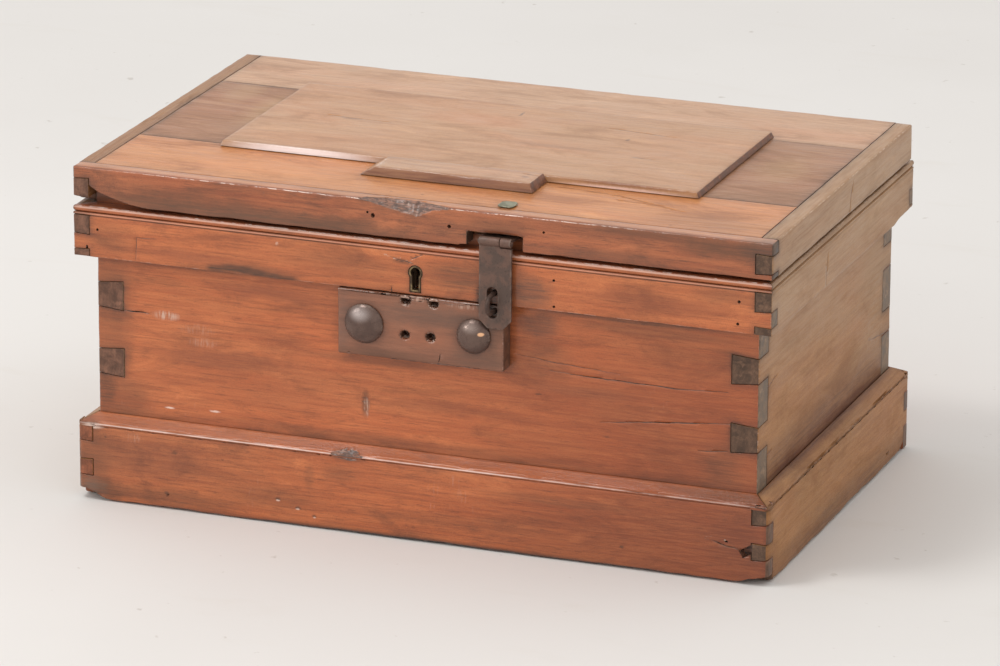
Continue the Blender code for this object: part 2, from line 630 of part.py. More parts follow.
# ---------------------------------------------------------------- hasp
def make_hasp(front_stile):
    axis_point = (HASP_LEFT_X, HASP_AXIS_Y, HASP_AXIS_Z)
    width = HASP_RIGHT_X - HASP_LEFT_X
    split = HASP_SPLIT_X - HASP_LEFT_X
    tooth = HASP_BORE_R + SLACK
    clear = HASP_KNUCKLE_R + GAP

    # leaf under the lid, with one knuckle in the rim's notch
    leaf_front_y = HASP_AXIS_Y + clear + SLACK
    outline = [(HASP_LEFT_X, HASP_LEAF_BACK_Y), (HASP_LEFT_X, leaf_front_y),
               (HASP_SPLIT_X + GAP / 2, leaf_front_y),
               (HASP_SPLIT_X + GAP / 2, HASP_AXIS_Y + tooth),
               (HASP_RIGHT_X - GAP, HASP_AXIS_Y + tooth), (HASP_RIGHT_X - GAP, HASP_LEAF_BACK_Y)]
    bm = bmesh.new()
    add_prism(bm, outline, "z", HASP_LEAF_Z, HASP_LEAF_Z + HASP_LEAF)
    leaf = add_piece("hasp_leaf", bm, "old_iron", "lid", origin=axis_point)
    tube = bmesh.new()
    add_tube(tube, axis_point, "x", HASP_KNUCKLE_R, HASP_BORE_R, split + GAP / 2, width - GAP)
    join(leaf, "hasp_leaf_knuckle", tube)
    hole = bmesh.new()
    add_turned(hole, [(CLENCH_R + GAP, -OVERCUT), (CLENCH_R + GAP, 2 * OVERCUT)], "z",
               (CLENCH_X, CLENCH_Y, HASP_LEAF_Z), steps=16)
    cut(leaf, "hasp_leaf_hole", hole)

    recess = bmesh.new()
    add_box(recess, (HASP_LEFT_X - GAP, -CASE_HALF_DEPTH - RIM, LID_UNDER_Z - OVERCUT),
            (HASP_RIGHT_X + GAP, HASP_LEAF_BACK_Y + GAP, HASP_LEAF_Z + HASP_LEAF + GAP))
    cut(front_stile, "hasp_leaf_recess", recess)
    hole = bmesh.new()
    add_turned(hole, [(CLENCH_R + GAP, 0), (CLENCH_R + GAP, LID_THICKNESS + OVERCUT)], "z",
               (CLENCH_X, CLENCH_Y, HASP_LEAF_Z), steps=16)
    cut(front_stile, "clench_hole", hole)

    # clenched end of brass on top of the lid, and its shank down to the leaf
    head_z = LID_TOP_Z + GAP
    bm = bmesh.new()
    add_turned(bm, [(CLENCH_R, HASP_LEAF_Z), (CLENCH_R, head_z + CLENCH_HEAD / 2)], "z",
               (CLENCH_X, CLENCH_Y, 0), steps=16)
    clench = add_piece("hasp_clench", bm, "green_brass", "lid",
                       origin=(CLENCH_X, CLENCH_Y, head_z))
    head = bmesh.new()
    bevel = 0.6
    base = [(-1, -bevel), (-bevel, -1), (bevel, -1), (1, -bevel), (1, bevel), (bevel, 1),
            (-bevel, 1), (-1, bevel)]
    add_prism(head, [(CLENCH_X + CLENCH_HALF_X * u, CLENCH_Y + CLENCH_HALF_Y * v) for u, v in base],
              "z", head_z, head_z + CLENCH_HEAD)
    join(clench, "clench_head", head)

    # slotted strap that hangs from the pin
    top_z = HASP_AXIS_Z - clear - GAP
    corner = HASP_CORNER
    outline = [(HASP_LEFT_X, HASP_END_Z + corner), (HASP_LEFT_X + corner, HASP_END_Z),
               (HASP_RIGHT_X - corner, HASP_END_Z), (HASP_RIGHT_X, HASP_END_Z + corner),
               (HASP_RIGHT_X, top_z), (HASP_SPLIT_X - GAP / 2, top_z),
               (HASP_SPLIT_X - GAP / 2, HASP_AXIS_Z - tooth), (HASP_LEFT_X, HASP_AXIS_Z - tooth)]
    bm = bmesh.new()
    add_prism(bm, outline, "y", HASP_AXIS_Y - HASP_STRAP / 2, HASP_AXIS_Y + HASP_STRAP / 2)
    strap = add_piece("hasp_strap", bm, "old_iron", "hasp", origin=axis_point)
    tube = bmesh.new()
    add_tube(tube, axis_point, "x", HASP_KNUCKLE_R, HASP_BORE_R, 0, split - GAP / 2)
    join(strap, "hasp_strap_knuckle", tube)
    slot = bmesh.new()
    half = HASP_SLOT_WIDTH / 2
    outline = []
    for centre_z, start in ((HASP_SLOT_LOW_Z + half, math.pi), (HASP_SLOT_TOP_Z - half, 0.0)):
        for i in range(9):
            angle = start + math.pi * i / 8
            outline.append((HASP_SLOT_X + half * math.cos(angle),
                            centre_z + half * math.sin(angle)))
    add_prism(slot, outline, "y", HASP_AXIS_Y - HASP_STRAP, HASP_AXIS_Y + HASP_STRAP)
    cut(strap, "hasp_slot", slot)

    bm = bmesh.new()
    add_turned(bm, [(HASP_PIN_R, -2 * SLACK), (HASP_PIN_R, width + SLACK)], "x", axis_point, steps=16)
    add_piece("hasp_pin", bm, "old_iron", "lid", origin=axis_point)


def make_staple():
    """A U of round bar: two legs driven into the front and a half-round loop."""
    radius = (STAPLE_HIGH_Z - STAPLE_LOW_Z) / 2
    middle_z = (STAPLE_HIGH_Z + STAPLE_LOW_Z) / 2
    path = [(STAPLE_TIP_Y, STAPLE_HIGH_Z, 0.0)]
    bends = 12
    for i in range(bends + 1):
        angle = math.pi / 2 + math.pi * i / bends
        path.append((STAPLE_BEND_Y + radius * math.cos(angle), middle_z + radius * math.sin(angle),
                     angle - math.pi / 2))
    path.append((STAPLE_TIP_Y, STAPLE_LOW_Z, math.pi))
    steps = 12
    bm = bmesh.new()
    rings = []
    for y, z, turn in path:
        # across the bar, in the plane of the loop
        across = Vector((0, math.cos(turn + math.pi / 2), math.sin(turn + math.pi / 2)))
        ring = []
        for i in range(steps):
            angle = 2 * math.pi * i / steps
            offset = Vector((1, 0, 0)) * math.cos(angle) + across * math.sin(angle)
            ring.append(bm.verts.new(Vector((HASP_SLOT_X, y, z)) + STAPLE_R * offset))
        rings.append(ring)
    for lower, upper in zip(rings, rings[1:]):
        for i in range(steps):
            j = (i + 1) % steps
            bm.faces.new((lower[i], lower[j], upper[j], upper[i]))
    bm.faces.new(rings[0])
    bm.faces.new(rings[-1])
    add_piece("hasp_staple", bm, "old_iron", origin=(HASP_SLOT_X, -CASE_HALF_DEPTH, middle_z))


def leg_hole(bm, z, front_y):
    """Clearance for one leg of the staple, from a front face to the leg's tip."""
    add_turned(bm, [(STAPLE_R + GAP, front_y), (STAPLE_R + GAP, STAPLE_TIP_Y + GAP)], "y",
               (HASP_SLOT_X, 0, z), steps=16)


def make_block(front_board):
    back_y = -CASE_HALF_DEPTH - GAP
    bm = bmesh.new()
    add_box(bm, (BLOCK_LEFT_X, BLOCK_FRONT_Y, BLOCK_LOW_Z), (BLOCK_RIGHT_X, back_y, BLOCK_TOP_Z))
    block = add_piece("hasp_block", bm, "dark_block", origin=(0, back_y, BLOCK_LOW_Z))
    holes = bmesh.new()
    through = back_y - BLOCK_FRONT_Y + OVERCUT
    for x, z in BLOCK_HOLES:
        add_turned(holes, [(BLOCK_HOLE_R, -OVERCUT), (BLOCK_HOLE_R, BLOCK_HOLE_DEPTH)], "y",
                   (x, BLOCK_FRONT_Y, z), steps=16)
    for x, z, _ in DOME_BOLTS.values():
        add_turned(holes, [(DOME_SHANK_R + GAP, -OVERCUT), (DOME_SHANK_R + GAP, through)], "y",
                   (x, BLOCK_FRONT_Y, z), steps=16)
    leg_hole(holes, STAPLE_LOW_Z, BLOCK_FRONT_Y - OVERCUT)
    cut(block, "block_holes", holes)

    inside_y = -CASE_HALF_DEPTH + BOARD
    holes = bmesh.new()
    for side, (x, z, head_r) in DOME_BOLTS.items():
        under = BLOCK_FRONT_Y - GAP
        rings = 6
        profile = [(0, under - DOME_HEIGHT)]
        for i in range(1, rings + 1):
            angle = math.pi / 2 * i / rings
            profile.append((head_r * math.sin(angle),
                            under - DOME_HEIGHT * math.cos(angle) ** 1.2))
        end_y = inside_y + NUT_THICKNESS + 2 * SLACK
        profile += [(DOME_SHANK_R, under), (DOME_SHANK_R, end_y), (0, end_y)]
        bm = bmesh.new()
        add_turned(bm, profile, "y", (x, 0, z), steps=32)
        add_piece("dome_bolt_" + side, bm, "old_iron", origin=(x, under, z))
        bm = bmesh.new()
        add_box(bm, (x - NUT_HALF, inside_y + GAP, z - NUT_HALF),
                (x + NUT_HALF, inside_y + GAP + NUT_THICKNESS, z + NUT_HALF))
        nut = add_piece("dome_bolt_nut_" + side, bm, "old_iron", origin=(x, inside_y, z))
        hole = bmesh.new()
        add_turned(hole, [(DOME_SHANK_R + GAP, -OVERCUT),
                          (DOME_SHANK_R + GAP, NUT_THICKNESS + OVERCUT)], "y", (x, inside_y, z), steps=16)
        cut(nut, f"dome_bolt_nut_{side}_hole", hole)
        add_turned(holes, [(DOME_SHANK_R + GAP, -OVERCUT), (DOME_SHANK_R + GAP, BOARD + OVERCUT)],
                   "y", (x, -CASE_HALF_DEPTH, z), steps=16)
    for z in (STAPLE_LOW_Z, STAPLE_HIGH_Z):
        leg_hole(holes, z, -CASE_HALF_DEPTH - OVERCUT)
    cut(front_board, "front_board_holes", holes)


# ---------------------------------------------------------------- lock
def make_lock(front_board, band_front, front_stile):
    band_face_y = -CASE_HALF_DEPTH - GAP - BAND
    inside_y = -CASE_HALF_DEPTH + BOARD
    mortise_y = inside_y - LOCK_DEPTH

    # escutcheon let into the band round the keyhole
    outer = keyhole_outline(ESCUTCHEON_WALL)
    inner = keyhole_outline(0.0)
    bm = bmesh.new()
    add_prism(bm, outer, "y", band_face_y, band_face_y + ESCUTCHEON_DEPTH)
    escutcheon = add_piece("keyhole_escutcheon", bm, "old_brass",
                           origin=(KEYHOLE_X, band_face_y, KEYHOLE_BULB_Z))
    hole = bmesh.new()
    add_prism(hole, inner, "y", band_face_y - OVERCUT, band_face_y + ESCUTCHEON_DEPTH + OVERCUT)
    cut(escutcheon, "escutcheon_hole", hole)
    seat = bmesh.new()
    add_prism(seat, keyhole_outline(ESCUTCHEON_WALL + GAP), "y", band_face_y - OVERCUT,
              band_face_y + ESCUTCHEON_DEPTH + GAP)
    cut(band_front, "escutcheon_seat", seat)
    for wood, label, start, end in (
            (band_front, "band_keyhole", band_face_y - OVERCUT, -CASE_HALF_DEPTH + OVERCUT),
            (front_board, "front_board_keyhole", -CASE_HALF_DEPTH - OVERCUT, mortise_y + OVERCUT)):
        hole = bmesh.new()
        add_prism(hole, keyhole_outline(GAP), "y", start, end)
        cut(wood, label, hole)
    hole = bmesh.new()
    leg_hole(hole, STAPLE_HIGH_Z, band_face_y - OVERCUT)
    cut(band_front, "band_staple_hole", hole)

    mortise = bmesh.new()
    add_box(mortise, (-LOCK_HALF_X - GAP, mortise_y - GAP, LOCK_LOW_Z - GAP),
            (LOCK_HALF_X + GAP, inside_y + 2 * OVERCUT, CASE_TOP_Z + 2 * OVERCUT))
    cut(front_board, "lock_mortise", mortise)

    # plate: upright back plate and narrow top plate, with two guides for the bolt
    plate_y = inside_y - LOCK_PLATE
    bm = bmesh.new()
    outline = [(mortise_y, LOCK_TOP_Z), (mortise_y, LOCK_TOP_Z - LOCK_PLATE),
               (plate_y, LOCK_TOP_Z - LOCK_PLATE), (plate_y, LOCK_LOW_Z),
               (inside_y, LOCK_LOW_Z), (inside_y, LOCK_TOP_Z)]
    add_prism(bm, outline, "x", -LOCK_HALF_X, LOCK_HALF_X)
    plate = add_piece("lock_plate", bm, "old_iron", origin=(0, inside_y, LOCK_LOW_Z))
    guides = bmesh.new()
    for x in BOLT_GUIDES_X:
        for low in (BOLT_LOW_Z - GAP - BOLT_GUIDE, BOLT_TOP_Z + GAP):
            add_box(guides, (x, BOLT_FRONT_Y, low),
                    (x + BOLT_GUIDE_LENGTH, plate_y + LOCK_PLATE / 2, low + BOLT_GUIDE))
    join(plate, "lock_guides", guides)
    slot = bmesh.new()
    add_box(slot, (EYE_LEFT_X - 2 * SLACK, EYE_FRONT_Y - 2 * SLACK, LOCK_TOP_Z - LOCK_PLATE - OVERCUT),
            (EYE_RIGHT_X + 2 * SLACK, EYE_BACK_Y + SLACK, LOCK_TOP_Z + OVERCUT))
    cut(plate, "lock_eye_slot", slot)
    holes = bmesh.new()
    for x in (-LOCK_SCREW_X, LOCK_SCREW_X):
        screw_hole(holes, (x, inside_y, LOCK_SCREW_Z), "y", -1)
    cut(plate, "lock_screw_holes", holes)

    # cap: a thin box open towards the plate
    cap_top = LOCK_TOP_Z - LOCK_PLATE - GAP
    bm = bmesh.new()
    add_box(bm, (CAP_LEFT_X, mortise_y, CAP_LOW_Z), (CAP_RIGHT_X, plate_y - GAP, cap_top))
    cap = add_piece("lock_cap", bm, "old_iron", origin=(0, mortise_y, LOCK_LOW_Z))
    hollow = bmesh.new()
    add_box(hollow, (CAP_LEFT_X + LOCK_WALL, mortise_y + LOCK_WALL, CAP_LOW_Z + LOCK_WALL),
            (CAP_RIGHT_X - LOCK_WALL, plate_y + OVERCUT, cap_top - LOCK_WALL))
    cut(cap, "lock_cap_hollow", hollow)
    slot = bmesh.new()
    add_box(slot, (EYE_LEFT_X - 2 * SLACK, EYE_FRONT_Y - SLACK, cap_top - LOCK_WALL - OVERCUT),
            (EYE_RIGHT_X + 2 * SLACK, plate_y + OVERCUT, cap_top + OVERCUT))
    cut(cap, "lock_cap_slot", slot)
    hole = bmesh.new()
    add_prism(hole, inner, "y", mortise_y - OVERCUT, mortise_y + LOCK_WALL + SLACK)
    cut(cap, "lock_cap_keyhole", hole)

    # bolt: a square bar, with the notched talon plate on its front that the key moves
    bm = bmesh.new()
    add_box(bm, (BOLT_LEFT_X, BOLT_FRONT_Y - 2 * GAP, BOLT_LOW_Z),
            (BOLT_RIGHT_X, BOLT_BACK_Y, BOLT_TOP_Z))
    bolt = add_piece("lock_bolt", bm, "old_brass", "lock_bolt_slide",
                     origin=(BOLT_LEFT_X, BOLT_FRONT_Y, BOLT_LOW_Z))
    talon_top_z = BOLT_TOP_Z - GAP
    outline = [(TALON_LEFT_X, talon_top_z), (TALON_LEFT_X, TALON_LOW_Z),
               (TALON_NOTCH_LEFT_X, TALON_LOW_Z), (TALON_NOTCH_LEFT_X, TALON_NOTCH_TOP_Z),
               (TALON_NOTCH_RIGHT_X, TALON_NOTCH_TOP_Z), (TALON_NOTCH_RIGHT_X, TALON_LOW_Z),
               (TALON_RIGHT_X, TALON_LOW_Z), (TALON_RIGHT_X, talon_top_z)]
    talon = bmesh.new()
    add_prism(talon, outline, "y", BOLT_FRONT_Y - GAP - TALON, BOLT_FRONT_Y - GAP)
    join(bolt, "lock_bolt_talon", talon)

    # link plate under the lid, with the eye that drops into the lock
    link_z = LID_UNDER_Z + LEAF_LIFT
    bm = bmesh.new()
    add_box(bm, (-LINK_HALF_X, LINK_FRONT_Y, link_z),
            (LINK_HALF_X, LINK_BACK_Y, link_z + LINK_THICKNESS))
    link = add_piece("lock_link_plate", bm, "old_iron", "lid", origin=(0, LINK_FRONT_Y, link_z))
    eye = bmesh.new()
    add_box(eye, (EYE_LEFT_X, EYE_FRONT_Y, EYE_LOW_Z),
            (EYE_RIGHT_X, EYE_BACK_Y, link_z + LINK_THICKNESS / 2))
    join(link, "lock_eye", eye)
    hole = bmesh.new()
    add_box(hole, (EYE_LEFT_X - OVERCUT, EYE_HOLE_FRONT_Y, EYE_HOLE_LOW_Z),
            (EYE_RIGHT_X + OVERCUT, EYE_HOLE_BACK_Y, EYE_HOLE_TOP_Z))
    cut(link, "lock_eye_hole", hole)
    holes = bmesh.new()
    for x in (-LINK_SCREW_X, LINK_SCREW_X):
        screw_hole(holes, (x, LINK_SCREW_Y, link_z), "z", 1)
    cut(link, "link_screw_holes", holes)

    recess = bmesh.new()
    add_box(recess, (-LINK_HALF_X - GAP, LINK_FRONT_Y - GAP, LID_UNDER_Z - OVERCUT),
            (LINK_HALF_X + GAP, LINK_BACK_Y + GAP, link_z + LINK_THICKNESS + GAP))
    cut(front_stile, "link_recess", recess)
    holes = bmesh.new()
    for x in (-LINK_SCREW_X, LINK_SCREW_X):
        pilot_hole(holes, (x, LINK_SCREW_Y, link_z), "z", 1)
    cut(front_stile, "link_wood_holes", holes)
    holes = bmesh.new()
    for x in (-LOCK_SCREW_X, LOCK_SCREW_X):
        pilot_hole(holes, (x, inside_y, LOCK_SCREW_Z), "y", -1)
    cut(front_board, "lock_wood_holes", holes)

    for number, x in enumerate((-LOCK_SCREW_X, LOCK_SCREW_X), 1):
        add_screw(f"lock_plate_screw_{number}", "case", (x, inside_y, LOCK_SCREW_Z), "y", -1)
    for number, x in enumerate((-LINK_SCREW_X, LINK_SCREW_X), 1):
        add_screw(f"link_plate_screw_{number}", "lid", (x, LINK_SCREW_Y, link_z), "z", 1)


# ---------------------------------------------------------------- the whole chest
def main():
    for old in list(bpy.data.objects):
        bpy.data.objects.remove(old, do_unlink=True)
    add_anchor("case", (0, 0, 0))
    add_anchor("lid", (0, LID_AXIS_Y, LID_AXIS_Z), "case")
    add_anchor("hasp", (HASP_LEFT_X, HASP_AXIS_Y, HASP_AXIS_Z), "lid")
    add_anchor("lock_bolt_slide", (BOLT_LEFT_X, BOLT_FRONT_Y, BOLT_LOW_Z), "case")

    boards = make_case()
    make_surround("plinth", PLINTH_PINS, 0.0, (PLINTH_EDGE_Z, PLINTH_TOP_Z),
                  PLINTH_EDGE_Z - 2 * SLACK, PLINTH, PLINTH, "stained_pine")
    band = make_surround("band", BAND_PINS, BAND_LOW_Z, (BAND_TOP_Z, BAND_TOP_Z), BAND_MITRE_Z,
                         BAND, BAND_BACK, "stained_pine")
    lid = make_lid()
    for side, x in (("left", -HINGE_X), ("right", HINGE_X)):
        make_hinge(side, x, boards["back_board"], lid["lid_back_stile"])
    make_hasp(lid["lid_front_stile"])
    make_staple()
    make_block(boards["front_board"])
    make_lock(boards["front_board"], band["front"], lid["lid_front_stile"])


main()
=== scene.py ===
import math
import random

import bmesh
import bpy
from mathutils import Matrix, Vector, noise
from mathutils.bvhtree import BVHTree
from mathutils.kdtree import KDTree


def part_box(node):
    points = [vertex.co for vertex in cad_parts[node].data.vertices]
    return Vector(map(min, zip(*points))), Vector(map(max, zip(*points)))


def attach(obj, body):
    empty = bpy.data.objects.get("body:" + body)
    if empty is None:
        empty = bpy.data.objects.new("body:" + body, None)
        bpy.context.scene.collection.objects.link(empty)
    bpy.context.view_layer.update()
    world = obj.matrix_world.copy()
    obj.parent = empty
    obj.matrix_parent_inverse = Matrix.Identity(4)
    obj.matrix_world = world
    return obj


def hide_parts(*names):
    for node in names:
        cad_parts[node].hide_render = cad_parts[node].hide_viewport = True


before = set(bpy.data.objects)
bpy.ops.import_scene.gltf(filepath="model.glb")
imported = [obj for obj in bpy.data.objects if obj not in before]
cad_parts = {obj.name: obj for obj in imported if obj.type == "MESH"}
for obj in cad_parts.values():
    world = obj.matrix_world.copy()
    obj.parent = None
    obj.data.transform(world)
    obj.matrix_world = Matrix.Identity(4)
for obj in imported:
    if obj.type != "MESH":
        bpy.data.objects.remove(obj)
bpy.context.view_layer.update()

# ---------------------------------------------------------------- camera
CAMERA_TURN = (20.5452, 17.8288, 0.2528)      # yaw, downward pitch and roll, in degrees
CAMERA_AT = Vector((1.794, -4.7744, 1.7603))
CAMERA_LENS, CAMERA_SENSOR = 241.66, 36.0

# ---------------------------------------------------------------- places read from the frame
CASE_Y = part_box("front_board")[0].y
CASE_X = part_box("right_side_board")[1].x
BAND_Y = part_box("band_front")[0].y
BAND_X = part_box("band_right")[1].x
BAND_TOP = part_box("band_front")[1].z
PLINTH_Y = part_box("plinth_front")[0].y
PLINTH_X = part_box("plinth_right")[1].x
RIM_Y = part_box("lid_rim_front")[0].y
RIM_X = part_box("lid_rim_right")[1].x
RIM_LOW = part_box("lid_rim_front")[0].z
LID_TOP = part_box("lid_front_stile")[1].z
BLOCK_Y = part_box("hasp_block")[0].y
PANEL_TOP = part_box("lid_raised_panel")[1].z

# ---------------------------------------------------------------- how fine and how worn
ALONG, ACROSS = ((0.005, 0.003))   # size of the mesh's facets
ARRIS = 0.0011             # how far an open edge is rounded
JOINT_ARRIS = 0.3          # as a share of that, at an edge that meets another piece
JOINT_REACH = 0.0014       # an edge this near another piece is a joint
AXES = {"x": 0, "y": 1, "z": 2}
END, BROKEN, INSIDE = 1, 2, 3       # a board's materials; 0 is its face


# ================================================================ node graphs
class Graph:
    """A short way to write a material's nodes. Every method gives an output socket."""

    def __init__(self, name):
        self.material = bpy.data.materials.new(name)
        self.material.use_nodes = True
        self.tree = self.material.node_tree
        self.shader = self.tree.nodes["Principled BSDF"]

    def node(self, kind, values, out=0, **settings):
        made = self.tree.nodes.new("ShaderNode" + kind)
        for key, value in settings.items():
            setattr(made, key, value)
        for key, value in values.items():
            self.feed(made.inputs[key], value)
        return made.outputs[out]

    def feed(self, socket, value):
        if isinstance(value, bpy.types.NodeSocket):
            self.tree.links.new(value, socket)
        elif isinstance(value, tuple) and len(value) == 3 and socket.type == "RGBA":
            socket.default_value = (*value, 1.0)
        else:
            socket.default_value = value

    def set(self, **values):
        for key, value in values.items():
            self.feed(self.shader.inputs[key.replace("_", " ")], value)

    def place(self):
        return self.node("TexCoord", {}, out="Object")

    def attribute(self, name):
        return self.node("Attribute", {}, out="Fac", attribute_name=name)

    def stretch(self, vector, scale, offset=(0, 0, 0), turn=(0, 0, 0)):
        return self.node("Mapping", {"Vector": vector, "Scale": scale, "Location": offset,
                                     "Rotation": turn})

    def noise(self, vector, scale=1.0, detail=4.0, rough=0.55, twist=0.0, out=0):
        return self.node("TexNoise", {"Vector": vector, "Scale": scale, "Detail": detail,
                                      "Roughness": rough, "Distortion": twist}, out=out)

    def math(self, operation, a, b=0.0, clamp=False):
        return self.node("Math", {0: a, 1: b}, operation=operation, use_clamp=clamp)

    def vector(self, operation, a, b, out=0):
        return self.node("VectorMath", {0: a, 1: b}, operation=operation, out=out)

    def mix(self, factor, a, b, blend="MIX"):
        return self.node("Mix", {0: factor, 6: a, 7: b}, out=2, data_type="RGBA", blend_type=blend)

    def between(self, value, low, high, to_low=0.0, to_high=1.0):
        """Value as it goes from low to high, smoothly, onto another range."""
        return self.node("MapRange", {"Value": value, "From Min": low, "From Max": high,
                                      "To Min": to_low, "To Max": to_high},
                         interpolation_type="SMOOTHSTEP")

    def ramp(self, value, *stops):
        made = self.tree.nodes.new("ShaderNodeValToRGB")
        self.feed(made.inputs[0], value)
        elements = made.color_ramp.elements
        for i, (at, level) in enumerate(stops):
            element = elements[i] if i < 2 else elements.new(at)
            element.position = at
            element.color = (level, level, level, 1.0) if isinstance(level, float) else (*level, 1)
        return made.outputs[0]

    def spot(self, place, centre, radius, soft):
        """1 inside an ellipsoid, fading to 0 over a share `soft` of its radius."""
        scale = tuple(1 / r for r in radius)
        near = self.vector("MULTIPLY", self.vector("SUBTRACT", place, tuple(centre)), scale)
        length = self.node("VectorMath", {0: near}, operation="LENGTH", out="Value")
        return self.between(length, 1.0, 1.0 - soft)


# ================================================================ wood
LEFT_WOOD = (0.37, 0.178, 0.066), (0.27, 0.118, 0.04), (0.15, 0.058, 0.022)
TONES = {    # light, middle and dark wood, and the end grain of the same boards
    "front": ((0.62, 0.195, 0.066), (0.44, 0.113, 0.038), (0.19, 0.056, 0.022), (0.25, 0.16, 0.098)),
    "plinth": ((0.56, 0.178, 0.062), (0.38, 0.103, 0.036), (0.16, 0.05, 0.022), (0.2, 0.105, 0.064)),
    "rim": ((0.5, 0.165, 0.066), (0.3, 0.085, 0.036), (0.105, 0.042, 0.024), (0.14, 0.085, 0.058)),
    "side": ((0.42, 0.215, 0.086), (0.31, 0.146, 0.054), (0.17, 0.068, 0.027), (0.16, 0.088, 0.054)),
    "left_side": (*LEFT_WOOD, (0.25, 0.118, 0.074)),
    "left_foot": (*LEFT_WOOD, (0.35, 0.115, 0.055)),
    "top": ((0.62, 0.262, 0.086), (0.49, 0.182, 0.056), (0.23, 0.08, 0.034), (0.26, 0.11, 0.062)),
    "back_stile": ((0.56, 0.32, 0.18), (0.46, 0.25, 0.13), (0.26, 0.125, 0.062), (0.15, 0.085, 0.055)),
    "panel": ((0.515, 0.275, 0.132), (0.42, 0.205, 0.087), (0.24, 0.105, 0.048), (0.26, 0.11, 0.062)),
    "end_board": ((0.38, 0.18, 0.082), (0.295, 0.13, 0.056), (0.15, 0.066, 0.032), (0.12, 0.065, 0.04)),
    "block": ((0.33, 0.135, 0.074), (0.24, 0.094, 0.052), (0.12, 0.054, 0.034), (0.19, 0.095, 0.06)),
    "bare": ((0.52, 0.36, 0.215), (0.42, 0.27, 0.145), (0.25, 0.145, 0.075), (0.3, 0.185, 0.1)),
}
# Near-black brown, used for dirt and for painted shade
GRIME_AND_SHADE = (0.04, 0.022, 0.015)
SOOTY = (0.115, 0.05, 0.026)
STAIN = (0.07, 0.032, 0.018)
RUSSET = (0.11, 0.03, 0.014)
# Pale rubbed wood, and the colour of painted highlights
RUBBED_AND_HIGHLIGHT = (0.9, 0.7, 0.6)
PALE = (0.66, 0.46, 0.36)
TURNS = {"x": (0, 0, 0), "y": (0, 0, -math.pi / 2)}


